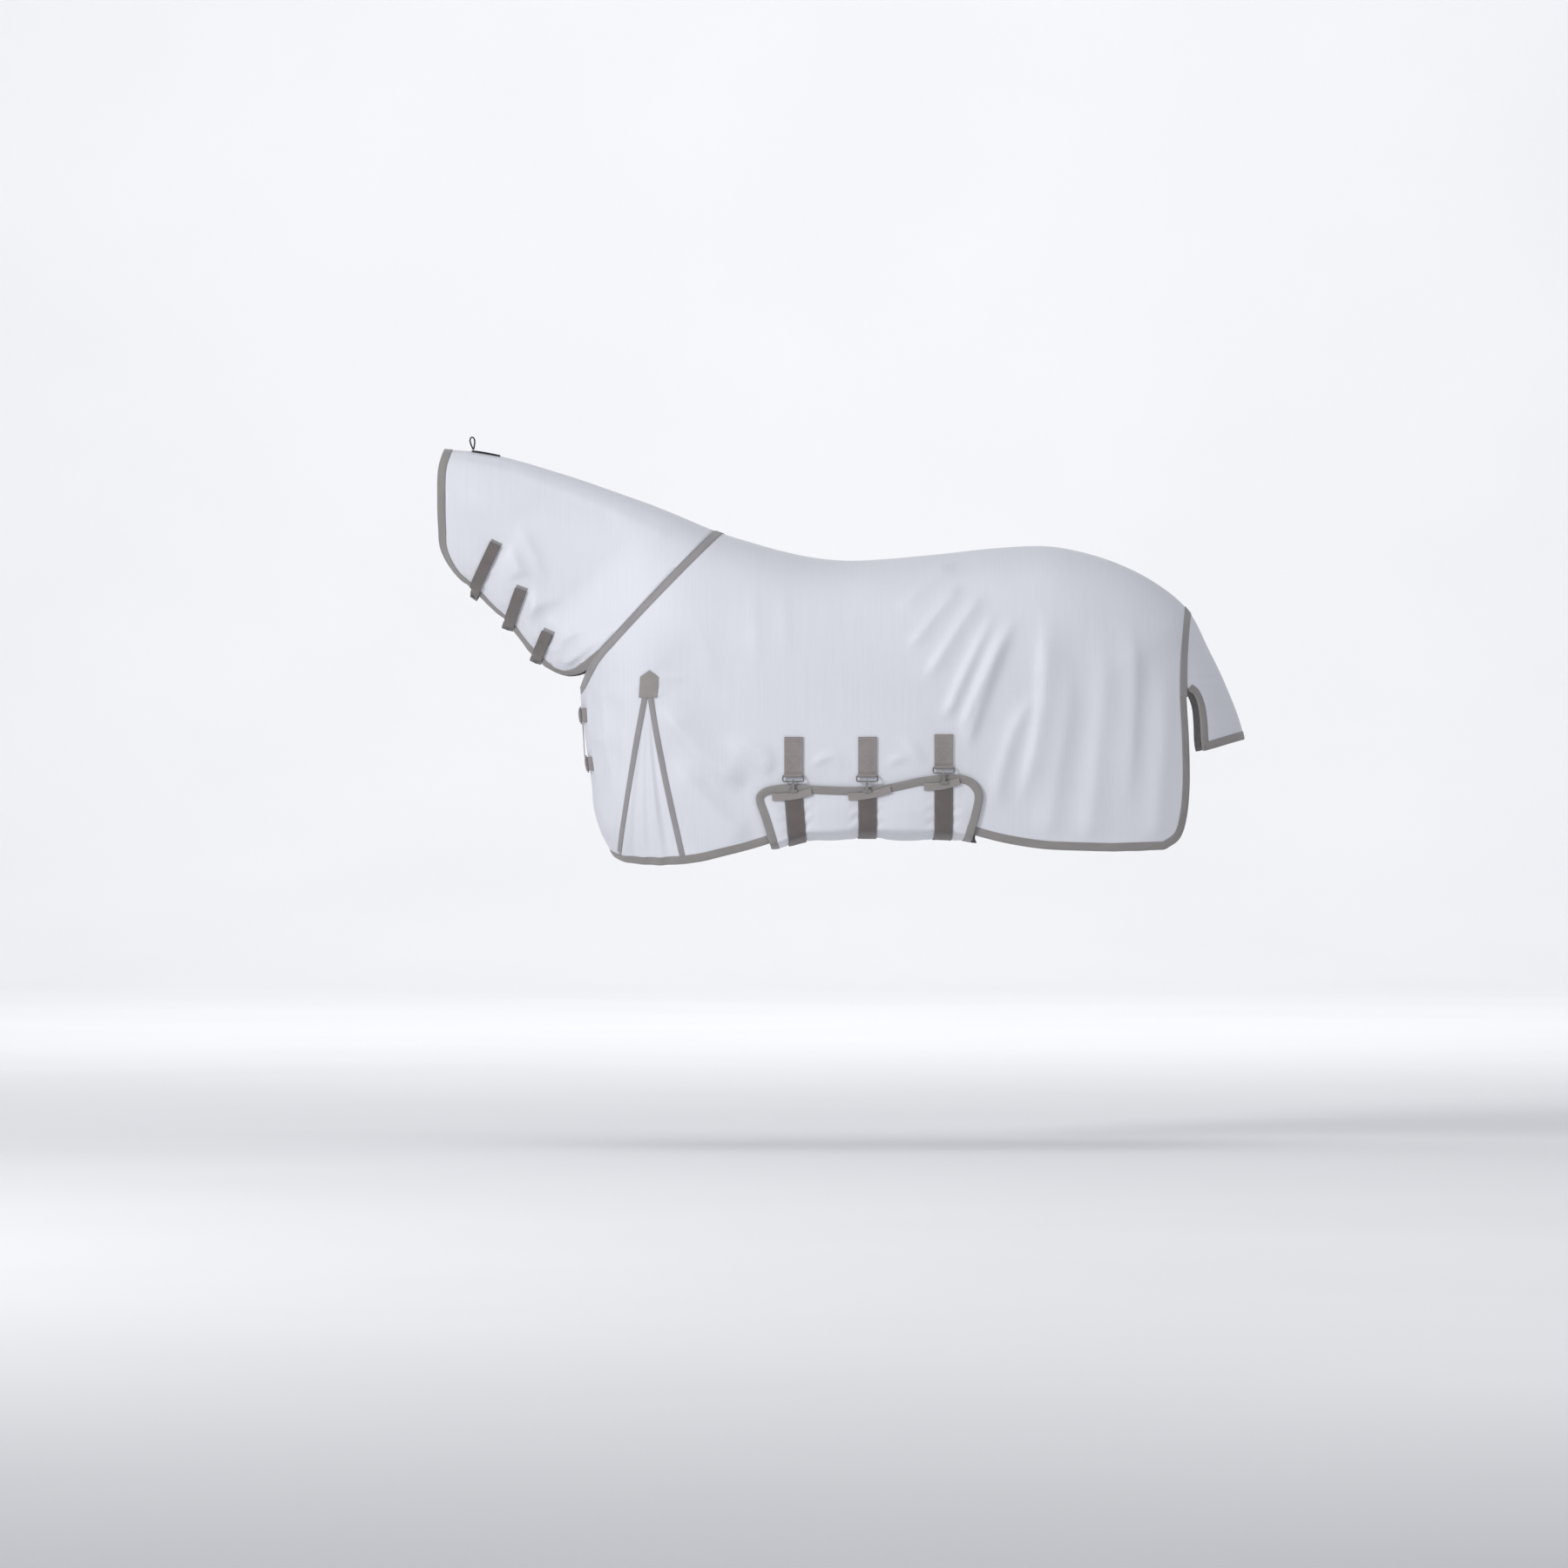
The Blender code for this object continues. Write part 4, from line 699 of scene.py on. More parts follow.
class Shader:
    """A material's nodes, with short ways to add and join them."""

    def __init__(self, name: str, colour: tuple, roughness: float, **sockets: float) -> None:
        """Makes the material.

        Args:
            name: the material's name.
            colour: its plain colour.
            roughness: its plain roughness.
            sockets: other values of the shader, with _ for spaces.
        """
        self.material = bpy.data.materials.new(name)
        self.material.use_nodes = True
        self.tree = self.material.node_tree
        self.surface = self.tree.nodes["Principled BSDF"]
        self.surface.inputs["Base Color"].default_value = (*colour, 1)
        self.surface.inputs["Roughness"].default_value = roughness
        for key, value in sockets.items():
            socket = self.surface.inputs[key.replace("_", " ")]
            socket.default_value = (value, value, value, 1) if socket.type == "RGBA" else value
        self.coordinates = self.node("ShaderNodeTexCoord")

    def node(self, kind: str, **values: object) -> bpy.types.Node:
        """Adds a node and sets its properties or inputs by name."""
        made = self.tree.nodes.new(kind)
        for key, value in values.items():
            if key in made.bl_rna.properties:
                setattr(made, key, value)
            else:
                made.inputs[key.replace("_", " ")].default_value = value
        return made

    def join(self, a: bpy.types.NodeSocket, b: bpy.types.NodeSocket) -> None:
        """Links an output to an input."""
        self.tree.links.new(a, b)

    def mapped(self, kind: str, scale: tuple, turn: float = 0.0) -> bpy.types.NodeSocket:
        """Coordinates of a kind, scaled and turned."""
        mapping = self.node("ShaderNodeMapping")
        mapping.inputs["Scale"].default_value = scale
        mapping.inputs["Rotation"].default_value = (0, 0, turn)
        self.join(self.coordinates.outputs[kind], mapping.inputs["Vector"])
        return mapping.outputs["Vector"]

    def noise(self, kind: str, scale: tuple, detail: float = 2.0, rough: float = 0.5) -> bpy.types.NodeSocket:
        """Noise with its own scale along each axis."""
        made = self.node("ShaderNodeTexNoise", Scale=1.0, Detail=detail, Roughness=rough)
        self.join(self.mapped(kind, scale), made.inputs["Vector"])
        return made.outputs["Fac"]

    def ribs(self, kind: str, pitch: float, direction: str = "X", turn: float = 0.0) -> bpy.types.NodeSocket:
        """Even ribs, a pitch apart, in metres."""
        made = self.node("ShaderNodeTexWave", wave_type="BANDS", wave_profile="SIN")
        made.bands_direction = direction
        made.inputs["Scale"].default_value = math.pi / (10 * pitch)
        self.join(self.mapped(kind, (1, 1, 1), turn), made.inputs["Vector"])
        return made.outputs["Fac"]

    def math(self, operation: str, a: object, b: object = 0.5) -> bpy.types.NodeSocket:
        """A sum or product of two values or outputs."""
        made = self.node("ShaderNodeMath", operation=operation)
        for socket, value in zip(made.inputs, (a, b)):
            if isinstance(value, bpy.types.NodeSocket):
                self.join(value, socket)
            else:
                socket.default_value = value
        return made.outputs[0]

    def ramp(self, factor: bpy.types.NodeSocket, stops: Sequence) -> bpy.types.NodeSocket:
        """Colours over a factor.

        Args:
            factor: the output that picks the colour.
            stops: (place, colour) pairs.

        Returns:
            The colour output.
        """
        made = self.node("ShaderNodeValToRGB")
        while len(made.color_ramp.elements) < len(stops):
            made.color_ramp.elements.new(0.5)
        for element, (place, colour) in zip(made.color_ramp.elements, stops):
            element.position, element.color = place, (*colour, 1)
        self.join(factor, made.inputs["Fac"])
        return made.outputs["Color"]

    def bump(self, height: bpy.types.NodeSocket, distance: float, strength: float = 1.0) -> None:
        """Adds relief, over any relief the surface has."""
        made = self.node("ShaderNodeBump", Strength=strength, Distance=distance)
        self.join(height, made.inputs["Height"])
        for link in list(self.surface.inputs["Normal"].links):
            self.join(link.from_socket, made.inputs["Normal"])
        self.join(made.outputs["Normal"], self.surface.inputs["Normal"])


def shaded(colour: tuple, by: float) -> tuple:
    """A colour made lighter or darker."""
    return tuple(min(1.0, c * by) for c in colour)


@dataclass(frozen=True)
class MeshCloth:
    """Smooth polyester mesh, woven in fine upright lines."""

    name: str = "fly_mesh"
    colour: tuple = (0.66, 0.67, 0.72)
    thread: float = 0.0016

    def make(self) -> bpy.types.Material:
        """The finished material."""
        sheen = {"Sheen_Weight": 0.12, "Sheen_Roughness": 0.35}
        s = Shader(self.name, self.colour, 0.52, **sheen, Specular_IOR_Level=0.42)
        patches = s.noise("UV", (3.0, 3.0, 3.0), 3.0)
        lines = s.noise("UV", (220.0, 4.0, 1.0), 2.0, 0.6)
        tone = s.math("ADD", s.math("MULTIPLY", patches, 0.55), s.math("MULTIPLY", lines, 0.45))
        stops = ((0.30, shaded(self.colour, 0.955)), (0.52, self.colour), (0.75, shaded(self.colour, 1.035)))
        s.join(s.ramp(tone, stops), s.surface.inputs["Base Color"])
        gloss = s.node("ShaderNodeMapRange", To_Min=0.44, To_Max=0.62)
        s.join(tone, gloss.inputs["Value"])
        s.join(gloss.outputs[0], s.surface.inputs["Roughness"])
        weave = s.math("MULTIPLY", s.ribs("UV", self.thread, "X"), s.ribs("UV", self.thread * 0.8, "Y"))
        s.bump(weave, 0.00012, 0.6)
        s.bump(lines, 0.0004, 0.5)
        return s.material


@dataclass(frozen=True)
class Tape:
    """Ribbed binding tape."""

    name: str
    colour: tuple
    rib: float = 0.0013
    edge: float = 0.85  # how dark its darkest tone is, where the ribs and mottling run low

    def make(self) -> bpy.types.Material:
        """The finished material."""
        sheen = {"Sheen_Weight": 0.25, "Sheen_Roughness": 0.5}
        s = Shader(self.name, self.colour, 0.78, **sheen, Specular_IOR_Level=0.3)
        ribs = s.ribs("UV", self.rib, "X", 0.5)
        fibres = s.noise("UV", (900.0, 500.0, 1.0), 3.0, 0.6)
        wear = s.noise("UV", (14.0, 40.0, 1.0), 3.0)
        tone = s.math("ADD", s.math("MULTIPLY", ribs, 0.35), s.math("MULTIPLY", wear, 0.65))
        dark, light = shaded(self.colour, self.edge), shaded(self.colour, 1.16)
        stops = ((0.22, dark), (0.50, self.colour), (0.85, light))
        s.join(s.ramp(tone, stops), s.surface.inputs["Base Color"])
        s.bump(ribs, 0.00025, 0.7)
        s.bump(fibres, 0.00012, 0.5)
        return s.material


@dataclass(frozen=True)
class Webbing:
    """Heavy webbing woven in a herringbone of small diagonal ribs."""

    name: str
    colour: tuple
    cord: float = 0.0030

    def make(self) -> bpy.types.Material:
        """The finished material."""
        sheen = {"Sheen_Weight": 0.2, "Sheen_Roughness": 0.5}
        s = Shader(self.name, self.colour, 0.74, **sheen, Specular_IOR_Level=0.32)
        one = s.ribs("UV", self.cord, "X", math.radians(38))
        two = s.ribs("UV", self.cord, "X", math.radians(-38))
        rows = s.ribs("UV", self.cord * 2.4, "Y")
        chosen = s.math("GREATER_THAN", rows, 0.5)
        first = s.math("MULTIPLY", one, chosen)
        weave = s.math("ADD", first, s.math("MULTIPLY", two, s.math("SUBTRACT", 1.0, chosen)))
        wear = s.noise("UV", (25.0, 25.0, 1.0), 4.0)
        tone = s.math("ADD", s.math("MULTIPLY", weave, 0.4), s.math("MULTIPLY", wear, 0.6))
        stops = ((0.20, shaded(self.colour, 0.80)), (0.50, self.colour), (0.85, shaded(self.colour, 1.18)))
        s.join(s.ramp(tone, stops), s.surface.inputs["Base Color"])
        s.bump(weave, 0.00045, 0.8)
        s.bump(s.noise("UV", (1200.0, 1200.0, 1.0), 2.0), 0.00012, 0.5)
        return s.material


@dataclass(frozen=True)
class Pile:
    """The soft loops or stiff hooks of hook-and-loop tape."""

    name: str
    colour: tuple

    def make(self) -> bpy.types.Material:
        """The finished material."""
        sheen = {"Sheen_Weight": 0.5, "Sheen_Roughness": 0.6}
        s = Shader(self.name, self.colour, 0.92, **sheen, Specular_IOR_Level=0.15)
        pile = s.noise("Object", (900.0, 900.0, 900.0), 3.0, 0.7)
        stops = ((0.3, shaded(self.colour, 0.6)), (0.7, shaded(self.colour, 1.25)))
        s.join(s.ramp(pile, stops), s.surface.inputs["Base Color"])
        s.bump(pile, 0.0008, 0.9)
        return s.material


@dataclass(frozen=True)
class Plated:
    """Cast metal with a worn dark nickel plate."""

    name: str = "dark_nickel"
    colour: tuple = (0.33, 0.32, 0.31)

    def make(self) -> bpy.types.Material:
        """The finished material."""
        s = Shader(self.name, self.colour, 0.30, Metallic=1.0)
        wear = s.noise("Object", (160.0, 160.0, 160.0), 4.0, 0.6)
        stops = ((0.35, shaded(self.colour, 0.72)), (0.62, self.colour), (0.80, shaded(self.colour, 1.7)))
        s.join(s.ramp(wear, stops), s.surface.inputs["Base Color"])
        gloss = s.node("ShaderNodeMapRange", To_Min=0.20, To_Max=0.45)
        s.join(wear, gloss.inputs["Value"])
        s.join(gloss.outputs[0], s.surface.inputs["Roughness"])
        s.bump(s.noise("Object", (700.0, 700.0, 700.0), 2.0), 0.00006, 0.4)
        return s.material


@dataclass(frozen=True)
class Thread:
    """Sewing thread."""

    name: str
    colour: tuple

    def make(self) -> bpy.types.Material:
        """The finished material."""
        s = Shader(self.name, self.colour, 0.6, Sheen_Weight=0.3, Specular_IOR_Level=0.4)
        twist = s.noise("Object", (2500.0, 2500.0, 2500.0), 1.0)
        stops = ((0.3, shaded(self.colour, 0.8)), (0.7, shaded(self.colour, 1.15)))
        s.join(s.ramp(twist, stops), s.surface.inputs["Base Color"])
        s.bump(twist, 0.00008, 0.5)
        return s.material


class Finish(Enum):
    """Every finish on the sheet."""

    CLOTH = MeshCloth()
    TAPE = Tape("binding_tape", (0.262, 0.246, 0.240))
    SEAM_TAPE = Tape("seam_tape", (0.290, 0.276, 0.280))
    PATCH = Tape("patch_tape", (0.285, 0.262, 0.255), 0.0016)
    TAB = Webbing("tab_webbing", (0.262, 0.236, 0.232))
    STRAP = Webbing("strap_webbing", (0.135, 0.115, 0.112))
    NECK_STRAP = Webbing("neck_strap_webbing", (0.150, 0.132, 0.126), 0.0022)
    BLACK = Webbing("black_elastic", (0.012, 0.012, 0.013), 0.0018)
    LOOPS = Pile("loop_pile", (0.30, 0.295, 0.30))
    HOOKS = Pile("hook_pile", (0.016, 0.016, 0.017))
    METAL = Plated()
    THREAD = Thread("grey_thread", (0.36, 0.345, 0.335))
    HEAVY_THREAD = Thread("heavy_thread", (0.43, 0.39, 0.385))

    @property
    def material(self) -> bpy.types.Material:
        """This finish's material, made once."""
        found = bpy.data.materials.get(self.value.name)
        return found or self.value.make()


# ---------------------------------------------------------------------------------------------------------
# Pieces
# ---------------------------------------------------------------------------------------------------------


@dataclass(frozen=True)
class Label:
    """What a finished piece is called, what it rides on and what it stands for."""

    name: str
    finish: Finish
    body: str
    slot: str
    stands_for: tuple[str, ...] = ()


def both_sides(stem: str) -> tuple[str, str]:
    """The names of a node's near and off sides."""
    return f"{stem}_left", f"{stem}_right"


@dataclass(frozen=True)
class Seam:
    """Rows of stitches beside a path on the cloth."""

    body: str
    ground: Ground
    path: Array
    shifts: tuple[float, ...]
    lift: float


def piece(
    label: Label, surface: Surface, weld: float = 0.0, sharp: float = 60.0, thick: float = 0.0
) -> bpy.types.Object:
    """Makes a finished piece from loose geometry.

    Args:
        label: its name, finish, body and nodes.
        surface: its geometry.
        weld: points this near each other become one.
        sharp: edges sharper than this many degrees stay crisp.
        thick: the thickness of a sheet, which grows inwards.

    Returns:
        The object, riding on its body if it has one.
    """
    mesh = bpy.data.meshes.new(label.name)
    mesh.from_pydata(surface.points.tolist(), [], [tuple(map(int, f)) for f in surface.faces])
    layer = mesh.uv_layers.new(name="cloth")
    corners = np.array([loop.vertex_index for loop in mesh.loops])
    layer.data.foreach_set("uv", surface.measure[corners].astype(np.float32).ravel())
    if weld or not thick:
        bm = bmesh.new()
        bm.from_mesh(mesh)
        if weld:
            bmesh.ops.remove_doubles(bm, verts=bm.verts, dist=weld)
        if not thick:
            bmesh.ops.recalc_face_normals(bm, faces=bm.faces)
        bm.to_mesh(mesh)
        bm.free()
    mesh.polygons.foreach_set("use_smooth", [True] * len(mesh.polygons))
    if not thick:
        mesh.set_sharp_from_angle(angle=math.radians(sharp))
    made = bpy.data.objects.new(label.name, mesh)
    bpy.context.scene.collection.objects.link(made)
    mesh.materials.append(label.finish.material)
    if thick:
        shell = made.modifiers.new("thickness", "SOLIDIFY")
        shell.thickness, shell.offset = thick, -1
    if label.body:
        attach(made, label.body)
    if label.stands_for:
        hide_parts(*label.stands_for)
    log.info("%s: %d faces", label.name, len(mesh.polygons))
    return made


def cloth_area(surface: Surface) -> float:
    """The area of a sheet's triangles."""
    p = surface.points
    total = 0.0
    for f in surface.faces:
        for k in range(1, len(f) - 1):
            total += float(np.linalg.norm(np.cross(p[f[k]] - p[f[0]], p[f[k + 1]] - p[f[0]]))) / 2
    return total


FOLD_TAKE_UP = 1.01  # how much the folds add to the cloth's cut area
LEAST_AREA = 0.31  # the smallest share of its flat size that a sheet can fill


def declare_sheet(
    surface: Surface, flat: tuple[float, float]
) -> None:
    """Works out a sheet's cut area from its geometry and its flat size, and then leaves it unused.

    Args:
        surface: its geometry. The cut area is worked out from it.
        flat: the cut's width and length.
    """
    whole = flat[0] * flat[1]
    area = max(min(cloth_area(surface) / FOLD_TAKE_UP, whole), LEAST_AREA * whole)


@dataclass
class Sheet:
    """The cloth of the body and neck, its gussets and everything laid on it."""

    form: HorseForm
    cloth: float = 0.0015  # from the form to the cloth's outer face
    cloth_thickness: float = 0.0010
    tape: float = 0.0013
    binding_width: float = 0.021
    gusset_binding_width: float = 0.016
    lip: float = 0.002
    fold_strength: float = 1.6  # how much fuller the folds stand than they are listed
    unevenness: float = 0.0012
    calm_share: float = 0.85  # how much flatter the cloth lies where it is held
    calm_reach: float = 0.06  # how far the shoulder seam holds it
    stitch_inset: float = 0.0025  # from a tape's edge to its stitches

    def __post_init__(self) -> None:
        """Makes the nets and the zones that fittings hold flat."""
        self.seams: list[Seam] = []
        self.plain_body = PlainCloth("body_panel_left", "body_panel_right", "gusset_left", "gusset_right")
        self.plain_neck = PlainCloth("neck_panel_left", "neck_panel_right")
        self.body_zones = [
            FittingZone((tuple(top), tuple(fold)), 0.035, 0.045) for top, fold in zip(TAB_TOPS, TAB_FOLDS)
        ]
        self.body_zones += [FittingZone(((-0.42, z), (-0.30, z)), 0.030, 0.050) for z in CHEST_LEVELS]
        self.flap_zone = FittingZone(((0.20, -0.76), (0.64, -0.74)), 0.085, 0.05)
        self.neck_zones = [FittingZone((tuple(tip), tuple(edge)), 0.024, 0.030) for tip, edge in NECK_STRAPS]
        self.neck_zones += [FittingZone(((-0.69, 0.235), (-0.58, 0.215)), 0.020, 0.040)]
        self.body_net = self.make_body_net()
        self.neck_net = self.make_neck_net()

    def on_form(self, xz: Array) -> Array:
        """Near-side points of the form over side-view points."""
        return np.stack([xz[..., 0], -self.form.half_width(xz[..., 0], xz[..., 1]), xz[..., 1]], -1)

    def make_body_net(self) -> Lattice:
        """The net from the shoulder seam and breast to past the rear edge, and down past the hem.

        Returns:
            The net. Its first column is the topline, and the foot of its first row the breast.
        """
        top = span(TOPLINE, (0.0, 0.001), (1.312, -0.245))
        breast = span(FRONTLINE, (-0.367, -0.426), (-0.242, -0.940))
        seam = smooth(np.vstack([top[:1], SHOULDER_SEAM[1:], NECKLINE[:-1], breast[:1]]))
        s, v = crowded(36, 0.12, 150), crowded(46, 0.30, 70)
        meet = 66
        left = [along(seam, v[: meet + 1] / v[meet]), along(breast, (v[meet:] - v[meet]) / (1 - v[meet]))[1:]]
        left = np.vstack(left)
        corner = np.array([top[-1][0], left[-1][1]])
        right = top[-1] + v[:, None] * (corner - top[-1])
        bottom = left[-1] + s[:, None] * (corner - left[-1])
        crest = along(top, s)
        u, w = s[:, None, None], v[None, :, None]
        sides = (1 - u) * left[None] + u * right[None] + (1 - w) * crest[:, None] + w * bottom[:, None]
        corners = (1 - w) * ((1 - u) * crest[0] + u * crest[-1]) + w * ((1 - u) * bottom[0] + u * bottom[-1])
        points = self.on_form(sides - corners)
        centred = np.zeros(points.shape[:2], bool)
        centred[:, 0] = True
        centred[0, meet:] = True
        return Lattice(points, centred)

    def make_neck_net(self) -> Lattice:
        """The net from past the neck cover's front edge to past the shoulder seam."""
        top = span(TOPLINE, (-0.780, 0.225), (0.030, -0.010))
        bottom = span(FRONTLINE, (-0.775, -0.055), (-0.378, -0.436))
        share = np.linspace(0, 1, 92)
        tops, bottoms = along(top, share), along(bottom, share)
        v = (1 - np.cos(np.linspace(0, math.pi, 76))) / 2
        xz = tops[:, None] + v[None, :, None] * (bottoms - tops)[:, None]
        points = self.on_form(xz)
        centred = np.zeros(points.shape[:2], bool)
        centred[:, 0] = centred[:, -1] = True
        return Lattice(points, centred)

    def stand_out(self, xz: Array, points: Array, normals: Array, neck: bool) -> Array:
        """How far the cloth stands out of the form.

        Args:
            xz: side-view points.
            points: the form's points there.
            normals: the ways out of it.
            neck: whether this is the neck cover.

        Returns:
            A distance for each point.
        """
        folds = self.fold_strength * sum(fold.at(xz) for fold in (NECK_FOLDS if neck else BODY_FOLDS))
        # where the two panels meet, both lie flat
        seam = np.abs(signed_distance(np.vstack([SHOULDER_SEAM, NECKLINE[:1]]), xz)[0])
        calm = 1 - self.calm_share * (1 - eased(seam / self.calm_reach))
        folds = (folds + ripple(xz, 4.0 if neck else 1.0, self.unevenness)) * calm
        if not neck:
            folds = folds * (1 - self.calm_share * self.flap_zone.share(xz))
        total = self.cloth + folds
        zones, plain = (self.neck_zones, self.plain_neck) if neck else (self.body_zones, self.plain_body)
        share = np.max([zone.share(xz) for zone in zones], axis=0)
        for k in np.flatnonzero(share > 0.001):
            found = plain.stand_out(points[k], normals[k])
            if found is not None:
                total[k] += share[k] * (found - total[k])
        return total

    def drape(self, net: Lattice, place: Array, faces: list, neck: bool) -> Surface:
        """Cloth over part of a net.

        Args:
            net: the net.
            place: the cloth's points, in the net's steps.
            faces: its triangles.
            neck: whether this is the neck cover.

        Returns:
            The near side's cloth.
        """
        points, normals, girth = (net.read(v, place) for v in (net.points, net.normals, net.girth))
        normals /= np.linalg.norm(normals, axis=1, keepdims=True)
        xz = points[:, (0, 2)]
        out = self.stand_out(xz, points, normals, neck)
        return Surface(points + normals * out[:, None], faces, np.stack([points[:, 0], girth], -1))

    def facing_out(self, surface: Surface) -> Surface:
        """Turns a near-side sheet so that its faces point away from the horse."""
        p = surface.points
        total = sum(float(np.cross(p[b] - p[a], p[c] - p[a])[1]) for a, b, c in surface.faces)
        return surface if total < 0 else Surface(p, [f[::-1] for f in surface.faces], surface.measure)

    def body_outline(self) -> Array:
        """The near body panel's outline in the side view, without its top and front edges."""
        hem = smooth(HEM, 6)
        rear_leg, front_leg = self.leg(GUSSET_REAR), self.leg(GUSSET_FRONT)
        behind = hem[hem[:, 0] > rear_leg[-1][0] + 0.004]
        ahead = hem[hem[:, 0] < front_leg[-1][0] - 0.004]
        edge = [smooth(REAR_EDGE, 6), behind, rear_leg[::-1], front_leg[1:], ahead]
        return paced(np.vstack(edge), EDGE_PACE)

    def leg(self, line: Array) -> Array:
        """One side of the gusset, ended on the hem."""
        hem, line = smooth(HEM), smooth(line, 10)
        return line[[height_at(hem, x) < z for x, z in line]]

    def make_body(self) -> Surface:
        """The near body panel."""
        net = self.body_net
        outline = net.locate(self.body_outline())
        outline = outline[(outline[:, 0] > ON_CENTRE) & (outline[:, 1] > ON_CENTRE)]
        first, last = outline[0], outline[-1]
        up = np.arange(math.floor(last[1]), 0, -1)
        left = np.stack([np.zeros(len(up)), up], -1)
        back = np.arange(0, math.floor(first[0]) + 1)
        top = np.stack([back, np.zeros(len(back))], -1)
        outline = np.vstack([(first[0], 0), outline, (0, last[1]), left, top])
        return self.facing_out(self.drape(net, *tile(outline), False))

    def make_gusset(self) -> Surface:
        """The near gusset insert, with its soft upright pleats.

        Returns:
            The insert's cloth.
        """
        hem = smooth(HEM, 6)
        front, rear = self.leg(GUSSET_FRONT), self.leg(GUSSET_REAR)
        between = hem[(hem[:, 0] < rear[-1][0] - 0.002) & (hem[:, 0] > front[-1][0] + 0.002)]
        outline = paced(np.vstack([front, between[::-1], rear[:0:-1]]), 0.005)
        place, faces = tile(self.body_net.locate(outline) * 2)
        made = self.facing_out(self.drape(self.body_net, place / 2, faces, False))
        xz = made.points[:, (0, 2)]
        ahead = np.interp(xz[:, 1], front[::-1, 1], front[::-1, 0])
        behind = np.interp(xz[:, 1], rear[::-1, 1], rear[::-1, 0])
        share = np.clip((xz[:, 0] - ahead) / np.maximum(behind - ahead, 1e-4), 0, 1)
        depth = np.clip((-0.47 - xz[:, 1]) / 0.30, 0, 1)
        edge = np.sin(math.pi * share) ** 0.8
        fine = np.cos(share * 6.4 * math.pi + 3.0 * (xz[:, 1] + 0.6))
        broad = np.cos(share * 3.1 * math.pi + 0.6)
        made.points[:, 1] += (0.007 - 0.0075 * (fine * 0.55 + broad * 0.45)) * edge * depth
        return made

    def make_neck(self) -> Surface:
        """The near side of the neck cover."""
        net = self.neck_net
        back = (SHOULDER_SEAM + 3 * SEAM_GAP * np.array([-1, 1]) / math.sqrt(2))[::-1]
        outline = net.locate(paced(np.vstack([NECK_EDGE[:-1], back]), EDGE_PACE))
        outline = outline[outline[:, 1] > ON_CENTRE]
        ahead, behind = outline[0][0], outline[-1][0]
        steps = np.arange(math.floor(behind), math.ceil(ahead) - 1, -1)
        top = np.stack([steps, np.zeros(len(steps))], -1)
        outline = np.vstack([(ahead, 0), outline, (behind, 0), top])
        return self.facing_out(self.drape(net, *tile(outline), True))

    def route(self, xz: Array, net: Lattice, neck: bool = False) -> Array:
        """A line of the pattern on the near side's cloth.

        Args:
            xz: the line in the side view.
            net: the net it lies on.
            neck: whether it lies on the neck cover.

        Returns:
            Its points in space, closely spaced.
        """
        place = paced(trimmed(net.locate(paced(xz, EDGE_PACE))), ROUTE_STEP)
        points = self.drape(net, place, [], neck).points
        return points[np.concatenate([[True], np.linalg.norm(np.diff(points, axis=0), axis=1) > 1e-6])]

    def build(self) -> None:
        """Makes the cloth, its seams and its tapes."""
        body, gusset, neck = self.make_body(), self.make_gusset(), self.make_neck()
        both, neck_both = body.joined(body.mirrored()), neck.joined(neck.mirrored())
        for name, part, flat, rests_on in (
            ("body", both, (2.30, 1.75), "neck_cloth"),
            ("neck", neck_both, (1.15, 0.85), "body_cloth"),
        ):
            label = Label(f"{name}_cloth", Finish.CLOTH, "rug", "cloth", both_sides(f"{name}_panel"))
            made = piece(label, part, WELD, thick=self.cloth_thickness)
            declare_sheet(part, flat)
        for side, part in (("left", gusset), ("right", gusset.mirrored())):
            label = Label(f"gusset_cloth_{side}", Finish.CLOTH, "rug", "cloth", (f"gusset_{side}",))
            made = piece(label, part, thick=self.cloth_thickness)
            declare_sheet(part, (0.20, 0.50))
        self.body_ground = Ground(both)
        self.hem_ground = Ground(both.joined(gusset, gusset.mirrored()))
        self.neck_ground = Ground(neck_both)
        self.bind()

    def over(self, near: Array) -> Array:
        """A near-side path carried on over the centre plane to the off side, rounded there."""
        path = np.vstack([near, near[-2::-1] * (1, -1, 1)])
        middle, reach, rounds = len(near) - 1, 14, 60
        for _ in range(rounds):
            part = path[middle - reach : middle + reach + 1]
            part[1:-1] += 0.5 * ((part[:-2] + part[2:]) / 2 - part[1:-1])
        return path

    def lay(self, label: Label, on: Ground, path: Array, profile: Sequence, rows: tuple, high: float) -> None:
        """Lays a tape on the cloth and notes its rows of stitches.

        Args:
            label: what the tape is.
            on: the cloth it lies on.
            path: the line it follows.
            profile: its cross-section.
            rows: how far to the left of its path it is stitched.
            high: from the cloth to its outer face.
        """
        piece(label, on.lay(path, profile))
        self.seams.append(Seam(label.body, on, path, rows, high))

